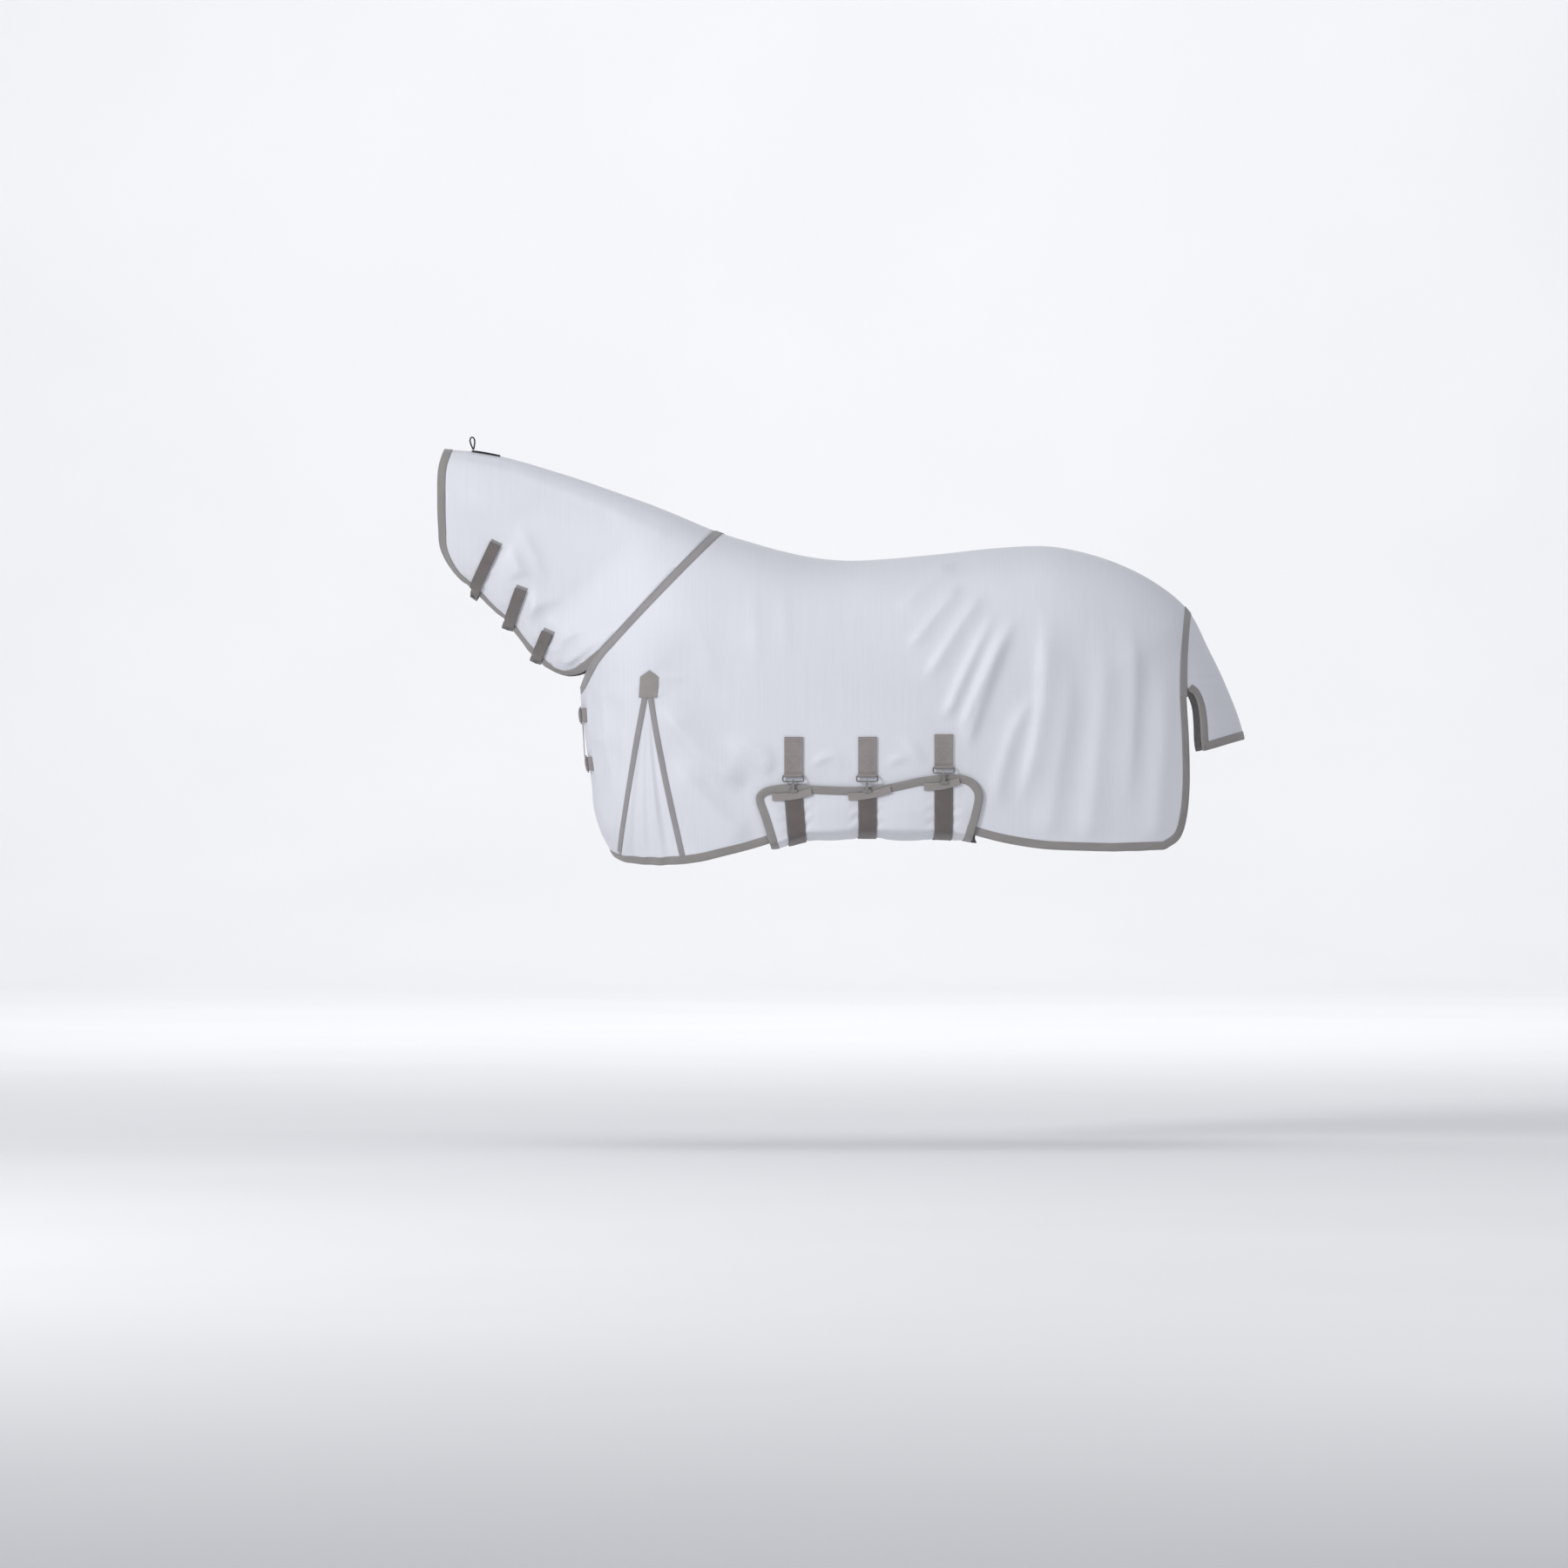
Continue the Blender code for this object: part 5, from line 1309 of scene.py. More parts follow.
    def bind(self) -> None:
        """Lays the tapes over the seams and round the edges."""
        tape, width = self.tape, self.binding_width
        crown, inset = 0.0003, self.stitch_inset
        high = LAYER_GAP + tape + crown
        rear = smooth(REAR_EDGE, 6)
        foot = int(np.argmin(np.linalg.norm(rear - REAR_EDGE[TAIL_SEAM_FOOT], axis=1)))
        seam = np.vstack([SHOULDER_SEAM, NECKLINE])
        path = self.over(self.route(seam[::-1], self.body_net))
        flat = moved(band_profile(width, tape, crown=crown), -width / 2)
        nodes = both_sides("shoulder_binding")
        label = Label("shoulder_seam_tape", Finish.SEAM_TAPE, "rug", "binding", nodes)
        self.lay(label, self.body_ground, path, flat, (-inset, inset - width), high)
        path = self.over(self.route(rear[foot::-1], self.body_net))
        wider = 0.004
        flat = moved(band_profile(width + wider, tape, crown=crown), (width - wider) / 2)
        label = Label("tail_seam_tape", Finish.SEAM_TAPE, "rug", "binding", both_sides("tail_seam_binding"))
        self.lay(label, self.body_ground, path, flat, (inset, width - inset), high)
        path = self.over(self.route(NECK_EDGE[:-2][::-1], self.neck_net, True))
        wrap = wrapped_profile(width, tape, self.cloth_thickness, self.lip, 1)
        label = Label("neck_edge_tape", Finish.TAPE, "rug", "binding", both_sides("neck_binding"))
        self.lay(label, self.neck_ground, path, wrap, (width - inset,), high)
        hem = np.vstack([rear[foot:], smooth(HEM, 6)[3:]])
        path = self.route(hem, self.body_net)
        wrap = wrapped_profile(width, tape, self.cloth_thickness, self.lip, -1)
        for side, mirror in (("left", 1), ("right", -1)):
            shape = wrap if mirror > 0 else [(-b, h) for b, h in wrap[::-1]]
            label = Label(f"hem_tape_{side}", Finish.TAPE, "rug", "binding", (f"hem_binding_{side}",))
            inner = -mirror * (width - inset)
            self.lay(label, self.hem_ground, path * (1, mirror, 1), shape, (inner,), high)
        self.bind_gussets()

    def bind_gussets(self) -> None:
        """Lays the tapes beside the gussets and the patches over their tops."""
        hem = smooth(HEM)
        narrow, crown = self.gusset_binding_width, 0.0004
        for side, mirror in (("left", 1), ("right", -1)):
            strips = []
            for line, out in ((GUSSET_FRONT, -1), (GUSSET_REAR, 1)):
                leg = paced(self.leg(line), 0.001)
                leg = leg[[height_at(hem, x) + self.binding_width < z for x, z in leg]]
                shift = np.array([out * narrow * 0.22, 0.0])
                path = self.route(leg + shift, self.body_net) * (1, mirror, 1)
                strips.append(self.hem_ground.lay(path, band_profile(narrow, self.tape, crown=crown)))
                edge = narrow / 2 - 0.0022
                self.seams.append(Seam("rug", self.hem_ground, path, (edge, -edge), self.tape + 0.0006))
            nodes = (f"gusset_binding_{side}",)
            label = Label(f"gusset_tape_{side}", Finish.SEAM_TAPE, "rug", "binding", nodes)
            piece(label, strips[0].joined(strips[1]))
            patch = self.patch(GUSSET_PATCH, 0.0022, 0.0016)
            nodes = (f"gusset_patch_{side}",)
            label = Label(f"gusset_top_patch_{side}", Finish.PATCH, "rug", "binding", nodes)
            piece(label, patch if mirror > 0 else patch.mirrored())

    def patch(self, outline: Array, lift: float, thickness: float) -> Surface:
        """A flat patch sewn on the near body panel.

        Args:
            outline: its outline in the side view.
            lift: from the cloth to its underside.
            thickness: its thickness.

        Returns:
            The patch.
        """
        ring = paced(np.vstack([outline, outline[:1]]), 0.004)[:-1]
        place, faces = tile(self.body_net.locate(ring) * 3)
        sheet = self.facing_out(self.drape(self.body_net, place / 3, faces, False))
        normals = np.array([self.body_ground.seat(p)[1] for p in sheet.points])
        count = len(sheet.points)
        edges = {}
        for f in sheet.faces:
            for a, b in zip(f, (*f[1:], f[0])):
                edges[(a, b)] = edges.get((a, b), 0) + 1
        rim = [(a, b) for a, b in edges if (b, a) not in edges]
        border = {a for a, _ in rim}
        soft = np.array([0.35 if k in border else 1.0 for k in range(count)])[:, None]
        upper = sheet.points + normals * (lift + thickness * (0.5 + 0.5 * soft))
        lower = sheet.points + normals * lift
        faces = [*sheet.faces, *[tuple(i + count for i in f[::-1]) for f in sheet.faces]]
        faces += [(b, a, a + count, b + count) for a, b in rim]
        measure = sheet.points[:, (0, 2)]
        return Surface(np.vstack([upper, lower]), faces, np.vstack([measure, measure]))


@dataclass
class BellyFlap:
    """The flap that passes under the belly, with its binding, straps, guards and sewn edge."""

    sheet: Sheet
    near_clearance: float = 0.0060
    sewn_clearance: float = 0.0025
    strap_width: float = 0.050
    puff: float = 0.0075
    guard_height: float = 0.020

    def make_net(self, clearance: float) -> Lattice:
        """Half of the flap, from over its top edge down to the middle of the belly.

        Args:
            clearance: from the body's cloth to the flap.

        Returns:
            The net, on the near side.
        """
        form, hem = self.sheet.form, smooth(HEM)
        top = BELLY_FLAP[:, 1].max() + 0.02
        rows = []
        for x in np.linspace(BELLY_FLAP[:, 0].min() - 0.01, BELLY_FLAP[:, 0].max() + 0.01, 96):
            turn, low = height_at(hem, x) - 0.004, height_at(BELLY_FLAP_LOW, x)
            z = np.linspace(top, turn, 24)
            wide = form.half_width(np.full(24, x), z) + self.sheet.cloth + clearance
            reach = np.clip((z[:1] - z) / (z[0] - z[-1]), 0, 1) ** 4
            wide = wide + (self.near_clearance + 0.0020 - clearance) * reach
            angle = np.linspace(0, math.pi / 2, 46)[1:]
            across = wide[-1] * np.cos(angle) ** 0.8
            across[-1] = 0
            under = np.stack([-across, turn - (turn - low) * np.sin(angle) ** 0.8], -1)
            section = np.vstack([np.stack([-wide, z], -1), under])
            eased = section[:, 0].copy()
            for _ in range(150):  # eases the turn under the belly, outwards only
                eased[12:45] += 0.5 * ((eased[11:44] + eased[13:46]) / 2 - eased[12:45])
            section[:, 0] = np.minimum(section[:, 0], eased)
            rows.append(np.column_stack([np.full(len(section), x), section]))
        points = np.array(rows)
        centred = np.zeros(points.shape[:2], bool)
        centred[:, -1] = True
        return Lattice(points, centred)

    def strap_x(self, i: int, z: Array) -> Array:
        """The middle of a belly strap at a height."""
        top = GUARDS[i][:, 1].mean()
        return TAB_FOLDS[i][0] + BELLY_STRAP_LEAN[i] * np.clip((top - z) / (top + 1), 0, 1)

    def swell(self, xz: Array) -> Array:
        """How far the flap puffs out between its straps."""
        x, z = xz[:, 0], xz[:, 1]
        total = ripple(xz, 9.0, 0.0006)
        middles = np.array([self.strap_x(i, z) for i in range(3)])
        near = np.abs(x - middles).min(axis=0)
        share = np.clip((near - self.strap_width / 2) / 0.075, 0, 1)
        height = np.clip((-0.715 - z) / 0.05, 0, 1)
        edge = np.abs(signed_distance(BELLY_FLAP, xz)[0])
        inside = np.clip((edge - 0.018) / 0.03, 0, 1)
        pull = 0.0022 * np.cos(z * 190 + 3 * np.sin(x * 40)) * np.exp(-((near - 0.034) / 0.012) ** 2)
        return total + (self.puff * share * (2 - share) + pull) * height * inside

    def drape(self, net: Lattice, place: Array, faces: list, near: bool) -> Surface:
        """Cloth over part of a net of the flap."""
        points, normals, girth = (net.read(v, place) for v in (net.points, net.normals, net.girth))
        normals /= np.linalg.norm(normals, axis=1, keepdims=True)
        points = points + normals * (0.0015 + self.swell(points[:, (0, 2)]))[:, None]
        girth = girth if near else 2 * float(net.girth[:, -1].mean()) - girth
        return Surface(points, faces, np.stack([points[:, 0], girth], -1))

    def half(self, net: Lattice, near: bool) -> Surface:
        """One half of the flap's cloth, on the near side.

        Args:
            net: the half's net.
            near: whether it is the hooked half and not the sewn one.

        Returns:
            The half, drawn on the near side either way.
        """
        outline = paced(BELLY_FLAP, 0.006)
        if not near:
            ends = [np.interp(BELLY_SEAM_Z, *outline[:60][np.argsort(outline[:60, 1])].T[::-1])]
            rear = outline[-60:]
            ends.append(np.interp(BELLY_SEAM_Z, *rear[np.argsort(rear[:, 1])].T[::-1]))
            low = outline[outline[:, 1] < BELLY_SEAM_Z]
            front, back = low[low[:, 0] < 0.4], low[low[:, 0] > 0.4]
            across = np.stack([np.linspace(ends[0], ends[1], 90), np.full(90, BELLY_SEAM_Z)], -1)
            outline = np.vstack([front, across, back])
        place = net.locate(outline)
        last = net.points.shape[1] - 1
        inner = place[place[:, 1] < last - 0.05]
        first, final = place[0][0], place[-1][0]
        across = np.arange(math.floor(final), math.ceil(first) - 1, -1)
        foot = np.stack([across, np.full(len(across), last)], -1)
        ring = np.vstack([(first, last), inner, (final, last), foot])
        return self.sheet.facing_out(self.drape(net, *tile(ring), near))

    def route(self, xz: Array, near: bool) -> Array:
        """A side-view line on one half of the flap, in space, on the near side."""
        net = self.near_net if near else self.off_net
        place = net.locate(paced(xz, 0.004))
        return self.drape(net, paced(place, ROUTE_STEP), [], near).points

    def round_path(self, near: Array, off: Array) -> Array:
        """A path down the near half and up the off half. Both are given downwards."""
        a, b = self.route(near, True), self.route(off, False)[::-1] * (1, -1, 1)
        a, b = a[a[:, 1] < -0.004], b[b[:, 1] > 0.004]
        return paced(np.vstack([a, b]), 0.006)

    def build(self) -> None:
        """Makes the flap and everything sewn to it."""
        self.near_net, self.off_net = self.make_net(self.near_clearance), self.make_net(self.sewn_clearance)
        near, off = self.half(self.near_net, True), self.half(self.off_net, False).mirrored()
        cloth = near.joined(off)
        label = Label("belly_flap_cloth", Finish.CLOTH, "belly_flap", "cloth", ("belly_flap",))
        made = piece(label, cloth, 0.0006, thick=self.sheet.cloth_thickness)
        declare_sheet(cloth, (0.62, 0.98))
        self.ground = Ground(cloth)
        tape, cloth_thick = self.sheet.tape, self.sheet.cloth_thickness
        edge = paced(BELLY_FLAP, 0.004)
        low = edge[edge[:, 1] < BELLY_SEAM_Z + 0.001]
        front, back = low[low[:, 0] < 0.4], low[low[:, 0] > 0.4][::-1]
        off_front, off_back = (self.route(line, False) * (1, -1, 1) for line in (front[::-1], back))
        middle = self.route(edge, True)
        middle = middle[middle[:, 1] < -0.004]
        off_front, off_back = (line[line[:, 1] > 0.004] for line in (off_front, off_back))
        path = paced(np.vstack([off_front, middle, off_back[::-1]]), 0.006)
        wrap = wrapped_profile(self.sheet.binding_width, tape, cloth_thick, 0.0016, -1)
        label = Label("belly_flap_tape", Finish.TAPE, "belly_flap", "binding", ("belly_flap_binding",))
        piece(label, self.ground.lay(path, wrap, 0.007))
        rows = (-0.003, -0.0185)
        self.sheet.seams.append(Seam("belly_flap", self.ground, path, rows, tape + 0.0005))
        for i in range(3):
            self.add_strap(i)
        level = BELLY_SEAM_Z + 0.0115
        ends = np.array([(0.120, level), (0.718, level)])
        path = self.sheet.route(ends, self.sheet.body_net) * (1, -1, 1)
        band = band_profile(self.sheet.binding_width, 0.0040)
        label = Label("belly_flap_seam_tape", Finish.SEAM_TAPE, "rug", "binding", ("belly_flap_seam",))
        piece(label, self.sheet.body_ground.lay(path, band))

    def add_strap(self, i: int) -> None:
        """Sews on one belly strap and the guard at its top.

        Args:
            i: which strap, from 0 at the front.
        """
        gap, tape = LAYER_GAP, self.sheet.tape
        top = GUARDS[i][:, 1].mean() + 0.004
        z = np.linspace(top, -0.90, 60)
        near = np.stack([self.strap_x(i, z), z], -1)
        path = self.round_path(near, near[z < BELLY_SEAM_Z])
        web = band_profile(self.strap_width, 0.0019, gap + tape, 0.0002, 6)
        nodes = (f"belly_strap_{i + 1}",)
        label = Label(f"belly_webbing_{i + 1}", Finish.STRAP, "belly_flap", "webbing", nodes)
        edge = self.strap_width / 2 - 0.003
        self.sheet.lay(label, self.ground, path, web, (edge, -edge), gap + tape + 0.0020)
        a, b = GUARDS[i]
        share = np.linspace(0, 1, 24)[:, None]
        sag = np.stack([np.zeros(24), -0.0045 * np.sin(math.pi * share[:, 0])], -1)
        path = self.route(a + (b - a) * share + sag, True)
        half = self.guard_height / 2
        bar = band_profile(self.guard_height, 0.0014, gap + tape + 0.0025, 0.0008, 6)
        nodes = (f"hook_guard_{i + 1}",)
        label = Label(f"hook_guard_tape_{i + 1}", Finish.PATCH, "belly_flap", "binding", nodes)
        piece(label, self.ground.lay(path, bar, 0.005))
        rows = (half - self.sheet.stitch_inset, self.sheet.stitch_inset - half)
        self.sheet.seams.append(Seam("belly_flap", self.ground, path, rows, gap + tape + 0.0041))


@dataclass
class TailFlap:
    """The flap over the dock, sewn to the rear edges and free below."""

    sheet: Sheet
    wave: float = 0.0045
    unevenness: float = 0.0008

    def build(self) -> None:
        """Makes the flap and its binding."""
        edge = smooth(TAIL_FLAP_EDGE)
        back = span(TOPLINE, (1.303, -0.222), (1.446, -0.575))
        rows, columns = 56, 34
        share = np.linspace(0, 1, rows)
        edges, backs = along(edge, share), along(back, share)
        across = np.sin(np.linspace(0, math.pi / 2, columns))
        xz = edges[:, None] + across[None, :, None] * (backs - edges)[:, None]
        points = self.sheet.on_form(xz)
        centred = np.zeros(points.shape[:2], bool)
        centred[:, -1] = True
        net = Lattice(points, centred)
        steps = steps_of((0, 0), (rows, columns))
        body = net.read(net.points, steps)
        flat = body[:, (0, 2)]
        normals = net.read(net.normals, steps)
        if normals[:, 1].mean() > 0:
            normals = -normals
        fall = steps[:, 0] / (rows - 1)
        wave = self.wave * np.sin(steps[:, 1] / (columns - 1) * 7.5 + 0.6) * np.clip(fall * 1.6 - 0.5, 0, 1)
        out = self.sheet.cloth + ripple(flat, 2.0, self.unevenness) * np.clip(fall * 2, 0, 1) + wave
        body = body + normals * out[:, None]
        body[steps[:, 1] == columns - 1, 1] = 0
        measure = np.stack([flat[:, 1], -body[:, 1]], -1)
        near = self.sheet.facing_out(Surface(body, [tuple(t) for t in net.triangles], measure))
        cloth = near.joined(near.mirrored())
        label = Label("tail_flap_cloth", Finish.CLOTH, "", "cloth", ("tail_flap",))
        made = piece(label, cloth, WELD, thick=self.sheet.cloth_thickness)
        declare_sheet(cloth, (0.50, 0.42))
        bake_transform(made)
        ground = Ground(cloth)
        side = body.reshape(rows, columns, 3)
        foot = int(np.argmin(np.linalg.norm(edges - TAIL_FLAP_EDGE[3], axis=1)))
        free, hem = side[foot:-1, 0], side[-1, 1:]
        near_path = np.vstack([free, side[-1, :1], hem])
        path = np.vstack([near_path, near_path[-2::-1] * (1, -1, 1)])
        width, lip = self.sheet.binding_width, self.sheet.lip
        wrap = wrapped_profile(width, self.sheet.tape, self.sheet.cloth_thickness, lip, 1)
        label = Label("tail_flap_tape", Finish.TAPE, "", "binding", ("tail_flap_binding",))
        made = piece(label, ground.lay(path, wrap))
        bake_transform(made)


@dataclass
class Refined:
    """Small sewn parts that keep the exact place of the plain model, with soft edges and woven finish."""

    edge: float = 0.0005

    def source(self, node: str) -> tuple[Array, list]:
        """The welded points and faces of a node."""
        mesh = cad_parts[node].data.copy()
        bm = bmesh.new()
        bm.from_mesh(mesh)
        bmesh.ops.remove_doubles(bm, verts=bm.verts, dist=0.00002)
        flat = math.radians(1.0)
        bmesh.ops.dissolve_limit(bm, angle_limit=flat, verts=bm.verts, edges=bm.edges)
        points = np.array([tuple(v.co) for v in bm.verts])
        faces = [tuple(v.index for v in f.verts) for f in bm.faces]
        bm.free()
        bpy.data.meshes.remove(mesh)
        return points, faces

    def measured(self, points: Array, faces: list, long_axis: Sequence | None) -> Surface:
        """Adds a cloth measure along and across a strap."""
        centred = points - points.mean(0)
        axes = np.linalg.svd(centred, full_matrices=False)[2]
        ahead = np.array(long_axis, float) if long_axis is not None else axes[0]
        ahead /= np.linalg.norm(ahead)
        across = axes[1] - ahead * (axes[1] @ ahead)
        if np.linalg.norm(across) < 0.3:
            across = axes[0] - ahead * (axes[0] @ ahead)
        across /= np.linalg.norm(across)
        return Surface(points, faces, np.stack([centred @ ahead, centred @ across], -1))

    def add(self, label: Label, surface: Surface, edge: float) -> bpy.types.Object:
        """Makes the part, with rounded edges."""
        made = piece(label, surface, sharp=180)
        soft = made.modifiers.new("soft_edges", "BEVEL")
        soft.width, soft.segments, soft.limit_method, soft.angle_limit = edge, 2, "ANGLE", math.radians(40)
        soft.harden_normals = True
        return made

    def build(self, node: str, finish: Finish, body: str, slot: str, axis: Sequence | None = None) -> None:
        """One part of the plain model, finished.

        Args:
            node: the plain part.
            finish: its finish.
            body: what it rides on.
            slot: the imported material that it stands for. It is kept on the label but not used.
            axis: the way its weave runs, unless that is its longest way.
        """
        points, faces = self.source(node)
        name = node.replace("strap", "band").replace("tab", "loop") + "_finished"
        surface = self.measured(points, faces, axis)
        self.add(Label(name, finish, body, slot, (node,)), surface, self.edge)

    def build_layers(self, node: str, body: str, thickness: float, inner_share: float) -> None:
        """A strap in two layers: webbing outside and black hooks inside.

        Args:
            node: the plain strap.
            body: what it rides on.
            thickness: the whole strap's thickness.
            inner_share: the hooks' share of it.
        """
        points, faces = self.source(node)
        tree = KDTree(len(points))
        for k, p in enumerate(points):
            tree.insert(p, k)
        tree.balance()
        partner = np.arange(len(points))
        for k, p in enumerate(points):
            found = tree.find_range(p, thickness * 1.25)
            near = [(abs(d - thickness), j) for _, j, d in found if d > thickness * 0.7]
            if near:
                partner[k] = min(near)[1]
        middle = points.mean(0) * (1, 0, 1)
        away = np.linalg.norm(points - middle, axis=1)
        outer = away > np.linalg.norm(points[partner] - middle, axis=1)
        upper, lower = points.copy(), points.copy()
        for k in range(len(points)):
            j = partner[k]
            if outer[k]:
                lower[k] = points[j] + (points[k] - points[j]) * inner_share
            else:
                upper[k] = points[k] + (points[j] - points[k]) * (inner_share + 0.03)
        web = self.measured(upper, faces, None)
        pile = self.measured(lower, faces, None)
        self.add(Label(f"{node}_webbing", Finish.NECK_STRAP, body, "webbing", (node,)), web, 0.0003)
        self.add(Label(f"{node}_hooks", Finish.HOOKS, body, "webbing"), pile, 0.0002)


@dataclass
class Stitching:
    """Rows of machine stitches, set along the seams by one Geometry Nodes tree."""

    pitch: float = 0.0048
    length: float = 0.0036
    radius: float = 0.00038
    seed: int = 7

    def sizes(self) -> dict[str, float]:
        """The tree's sizes by the names of its inputs."""
        return {"Pitch": self.pitch, "Stitch Length": self.length, "Thread Radius": self.radius}

    def tree(self) -> bpy.types.GeometryNodeTree:
        """The node tree, which turns edges into rows of short stitches.

        Returns:
            The tree, with its sizes as inputs.
        """
        made = bpy.data.node_groups.new("stitch_rows", "GeometryNodeTree")
        face = made.interface
        face.new_socket("Geometry", in_out="INPUT", socket_type="NodeSocketGeometry")
        for name, value in self.sizes().items():
            face.new_socket(name, in_out="INPUT", socket_type="NodeSocketFloat").default_value = value
        face.new_socket("Seed", in_out="INPUT", socket_type="NodeSocketInt").default_value = self.seed
        face.new_socket("Thread", in_out="INPUT", socket_type="NodeSocketMaterial")
        face.new_socket("Geometry", in_out="OUTPUT", socket_type="NodeSocketGeometry")
        node, link = made.nodes.new, made.links.new
        start, end = node("NodeGroupInput"), node("NodeGroupOutput")
        curve, even = node("GeometryNodeMeshToCurve"), node("GeometryNodeResampleCurve")
        even.mode = "LENGTH"
        link(start.outputs["Geometry"], curve.inputs["Mesh"])
        link(curve.outputs["Curve"], even.inputs["Curve"])
        link(start.outputs["Pitch"], even.inputs["Length"])
        ball, size = node("GeometryNodeMeshUVSphere"), node("ShaderNodeCombineXYZ")
        ball.inputs["Segments"].default_value, ball.inputs["Rings"].default_value = 6, 4
        ball.inputs["Radius"].default_value = 1.0
        half = node("ShaderNodeMath")
        half.operation, half.inputs[1].default_value = "MULTIPLY", 0.5
        link(start.outputs["Stitch Length"], half.inputs[0])
        link(start.outputs["Thread Radius"], size.inputs["X"])
        link(start.outputs["Thread Radius"], size.inputs["Y"])
        link(half.outputs[0], size.inputs["Z"])
        shape, tangent = node("GeometryNodeTransform"), node("GeometryNodeInputTangent")
        link(ball.outputs["Mesh"], shape.inputs["Geometry"])
        link(size.outputs[0], shape.inputs["Scale"])
        turn, vary = node("FunctionNodeAlignRotationToVector"), node("FunctionNodeRandomValue")
        turn.axis = "Z"
        link(tangent.outputs["Tangent"], turn.inputs["Vector"])
        vary.data_type = "FLOAT_VECTOR"
        vary.inputs["Min"].default_value = (0.9, 0.9, 0.86)
        vary.inputs["Max"].default_value = (1.1, 1.1, 1.06)
        link(start.outputs["Seed"], vary.inputs["Seed"])
        rows = node("GeometryNodeInstanceOnPoints")
        link(even.outputs["Curve"], rows.inputs["Points"])
        link(shape.outputs["Geometry"], rows.inputs["Instance"])
        link(turn.outputs["Rotation"], rows.inputs["Rotation"])
        link(vary.outputs["Value"], rows.inputs["Scale"])
        real, paint = node("GeometryNodeRealizeInstances"), node("GeometryNodeSetMaterial")
        link(rows.outputs["Instances"], real.inputs["Geometry"])
        link(real.outputs["Geometry"], paint.inputs["Geometry"])
        link(start.outputs["Thread"], paint.inputs["Material"])
        link(paint.outputs["Geometry"], end.inputs["Geometry"])
        return made

    def sew(
        self, name: str, body: str, rows: Sequence[Array], finish: Finish = Finish.THREAD
    ) -> bpy.types.Object:
        """Sews rows of stitches.

        Args:
            name: the new piece's name.
            body: what it rides on.
            rows: each row's points.
            finish: the thread.

        Returns:
            All the stitches, as one plain mesh.
        """
        points, edges = np.vstack(rows), []
        count = 0
        for row in rows:
            edges += [(count + k, count + k + 1) for k in range(len(row) - 1)]
            count += len(row)
        lines = bpy.data.meshes.new("seam_lines")
        lines.from_pydata(points.tolist(), edges, [])
        draft = bpy.data.objects.new("seam_lines", lines)
        bpy.context.scene.collection.objects.link(draft)
        tree = bpy.data.node_groups.get("stitch_rows") or self.tree()
        modifier = draft.modifiers.new("stitches", "NODES")
        modifier.node_group = tree
        values = {**self.sizes(), "Seed": self.seed, "Thread": finish.material}
        for socket in tree.interface.items_tree:
            if socket.in_out == "INPUT" and socket.name in values:
                modifier[socket.identifier] = values[socket.name]
        bpy.context.view_layer.update()
        graph = bpy.context.evaluated_depsgraph_get()
        mesh = bpy.data.meshes.new_from_object(draft.evaluated_get(graph), depsgraph=graph)
        mesh.name = name
        bpy.data.objects.remove(draft)
        bpy.data.meshes.remove(lines)
        mesh.polygons.foreach_set("use_smooth", [True] * len(mesh.polygons))
        made = bpy.data.objects.new(name, mesh)
        bpy.context.scene.collection.objects.link(made)
        if body:
            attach(made, body)
        log.info("%s: %d faces", name, len(mesh.polygons))
        return made


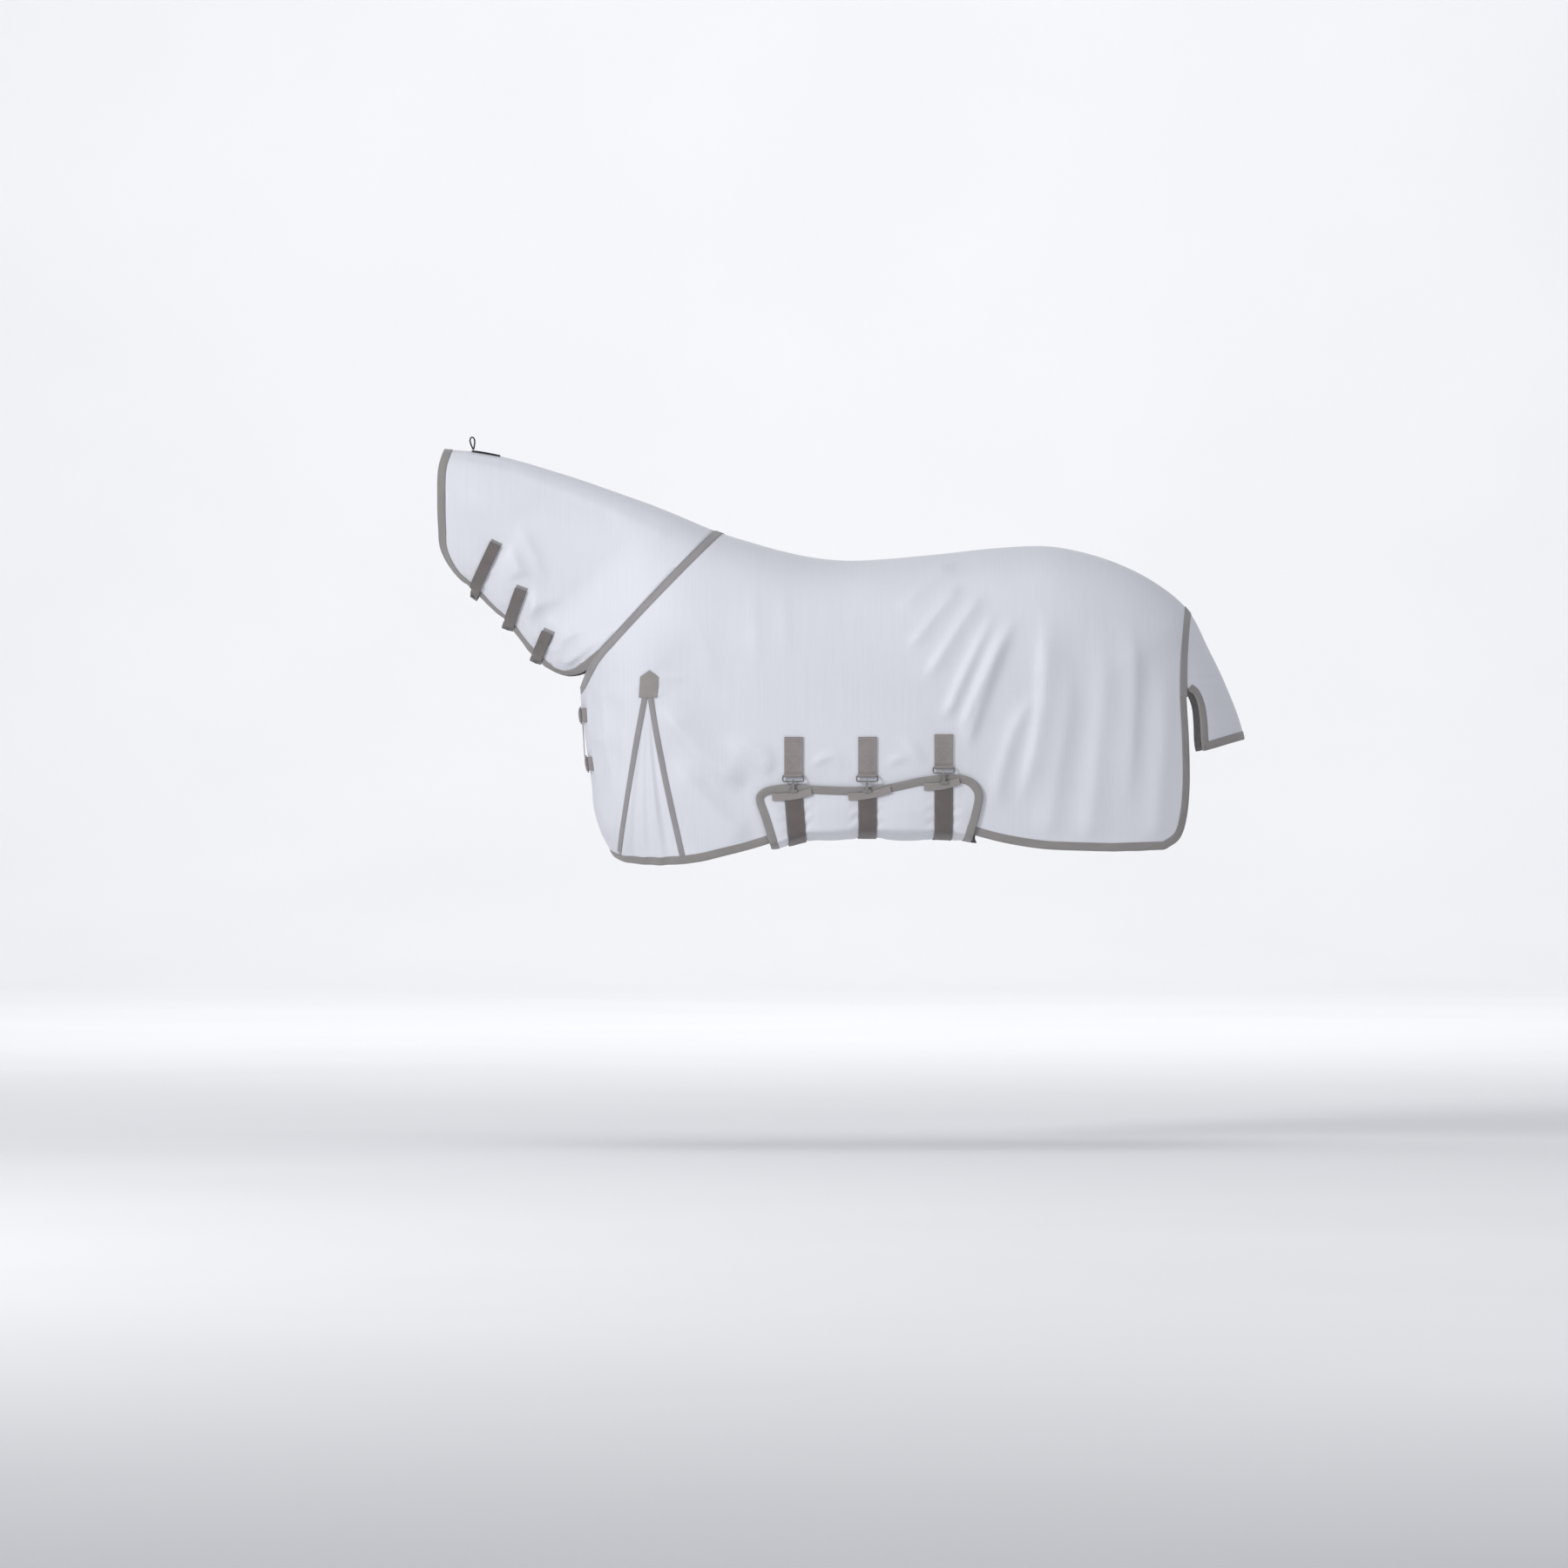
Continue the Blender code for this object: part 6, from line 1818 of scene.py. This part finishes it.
@dataclass
class Fittings:
    """The webbing, straps and hardware."""

    sheet: Sheet
    refined: Refined
    stitching: Stitching

    def build(self) -> None:
        """Finishes every strap and fitting."""
        parts = self.refined
        for i in (1, 2, 3):
            parts.build(f"surcingle_tab_{i}", Finish.TAB, "rug", "webbing", (0, 0, 1))
            parts.build(f"neck_strap_anchor_{i}", Finish.NECK_STRAP, "rug", "webbing")
            parts.build(f"neck_strap_patch_{i}", Finish.LOOPS, "rug", "binding")
            parts.build_layers(f"neck_strap_{i}", f"neck_strap_{i}", 0.003, 0.42)
        for end in ("upper", "lower"):
            parts.build(f"chest_tab_{end}", Finish.TAB, "rug", "webbing", (0, 1, 0))
            parts.build(f"chest_strap_{end}", Finish.TAB, f"chest_strap_{end}", "webbing", (0, 1, 0))
        parts.build("chest_strap_tail", Finish.TAB, "chest_tail", "webbing", (0, 0, 1))
        parts.build("poll_strap", Finish.BLACK, "rug", "elastic")
        parts.build("poll_loop", Finish.BLACK, "poll_loop", "elastic", (0, 0, 1))
        for name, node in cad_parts.items():
            if "buckle" in name or "hook" in name and "guard" not in name:
                node.data.materials.clear()
                node.data.materials.append(Finish.METAL.material)
        self.stitch()

    def tab_rows(self, i: int) -> list[Array]:
        """A box with a cross, and a bar over it, on one webbing tab.

        Args:
            i: which tab, from 0 at the front.

        Returns:
            The rows of stitches.
        """
        (x, top), (_, fold) = TAB_TOPS[i], TAB_FOLDS[i]
        half, low, high = 0.0205, fold + 0.014, fold + 0.058
        lines = [
            [(x - half, low), (x + half, low), (x + half, high), (x - half, high), (x - half, low)],
            [(x - half, low), (x + half, high)],
            [(x + half, low), (x - half, high)],
            [(x - half, top - 0.005), (x + half, top - 0.005)],
            [(x - half, high), (x - half, top - 0.005)],
            [(x + half, high), (x + half, top - 0.005)],
        ]
        rows = []
        node = PlainCloth(f"surcingle_tab_{i + 1}")
        for line in lines:
            row = []
            for px, pz in paced(np.array(line), 0.003):
                hit = node.tree.ray_cast(Vector((px, -2, pz)), Vector((0, 1, 0)))[0]
                if hit is not None:
                    row.append(np.array(hit) - (0, 0.0001, 0))
            if len(row) > 2:
                rows.append(np.array(row))
        return rows

    def stitch(self) -> None:
        """Sews every row of stitches, one piece for each body."""
        rows: dict[str, list[Array]] = {"rug": [], "belly_flap": []}
        for seam in self.sheet.seams:
            for shift in seam.shifts:
                row = seam.ground.lay(seam.path, [(shift, seam.lift)], 0.006)
                rows[seam.body].append(row.points)
        self.stitching.sew("tape_stitches", "rug", rows["rug"])
        self.stitching.sew("belly_flap_stitches", "belly_flap", rows["belly_flap"])
        tabs = [row for i in range(3) for row in self.tab_rows(i)]
        Stitching(0.0052, 0.0046, 0.00065).sew("tab_stitches", "rug", tabs, Finish.HEAVY_THREAD)


@dataclass
class Studio:
    """The floor, the lights and the camera."""

    floor_z: float = -1.690  # where the horse's hooves stand
    aim: tuple[float, float, float] = (0.189, 0.0, -0.6915)
    view_width: float = 4.248
    lens: float = 200.0

    def build(self) -> None:
        """Sets up the studio."""
        scene = bpy.context.scene
        scene.view_settings.view_transform = "Standard"
        world = bpy.data.worlds.new("studio")
        scene.world = world
        world.use_nodes = True
        world.node_tree.nodes["Background"].inputs["Color"].default_value = (0.93, 0.95, 1.0, 1)
        world.node_tree.nodes["Background"].inputs["Strength"].default_value = 0.50
        mesh = bpy.data.meshes.new("floor")
        turn, start, reach, steps = 6.0, 18.0, 40.0, 24  # it turns up into a wall far behind the sheet
        bend = [(turn * math.sin(a), turn * (1 - math.cos(a))) for a in np.linspace(0, math.pi / 2, steps)]
        side = [(-reach, 0.0), *[(start + y, z) for y, z in bend], (start + turn, reach)]
        points = [(x, y, self.floor_z + z) for y, z in side for x in (-reach, reach)]
        mesh.from_pydata(points, [], [(2 * i, 2 * i + 1, 2 * i + 3, 2 * i + 2) for i in range(len(side) - 1)])
        mesh.polygons.foreach_set("use_smooth", [True] * len(mesh.polygons))
        floor = bpy.data.objects.new("floor", mesh)
        scene.collection.objects.link(floor)
        paint = Shader("floor_paint", (0.87, 0.87, 0.88), 0.9, Specular_IOR_Level=0.1)
        mottle = paint.noise("Object", (0.7, 0.7, 0.7), 2.0)
        stops = ((0.3, (0.865, 0.865, 0.875)), (0.7, (0.885, 0.885, 0.895)))
        paint.join(paint.ramp(mottle, stops), paint.surface.inputs["Base Color"])
        mesh.materials.append(paint.material)
        sheet, wall = (0.3, 0.0, -0.45), (0.3, 24.0, 2.0)
        self.light("key", (-8.0, -7.5, 3.6), 2.5, 620, sheet)
        self.light("fill", (6.0, -10.0, 0.5), 6.0, 120, sheet)
        self.light("top", (0.3, -3.0, 9.0), 6.0, 170, sheet)
        self.light("wall", (0.3, 9.0, 12.0), 10.0, 1500, wall)
        data = bpy.data.cameras.new("camera")
        data.lens, data.sensor_width = self.lens, 36.0
        data.clip_end = 200
        camera = bpy.data.objects.new("camera", data)
        scene.collection.objects.link(camera)
        distance = self.view_width * self.lens / data.sensor_width
        camera.location = (self.aim[0], self.aim[1] - distance - 0.3, self.aim[2])
        camera.rotation_euler = (math.pi / 2, 0, 0)
        scene.camera = camera

    def light(self, name: str, place: Sequence, size: float, power: float, aim: Sequence) -> None:
        """A soft square light.

        Args:
            name: its name.
            place: where it stands.
            size: its side.
            power: in watts.
            aim: the point it faces.
        """
        data = bpy.data.lights.new(name, "AREA")
        data.size, data.energy = size, power
        made = bpy.data.objects.new(name, data)
        bpy.context.scene.collection.objects.link(made)
        made.location = place
        made.rotation_euler = (Vector(aim) - Vector(place)).to_track_quat("-Z", "Y").to_euler()


def main() -> None:
    """Builds the sheet and its studio."""
    logging.basicConfig(level=logging.INFO, format="%(name)s: %(message)s")
    Studio().build()
    sheet = Sheet(HorseForm())
    sheet.build()
    TailFlap(sheet).build()
    BellyFlap(sheet).build()
    Fittings(sheet, Refined(), Stitching()).build()


if __name__ == "__main__":
    main()
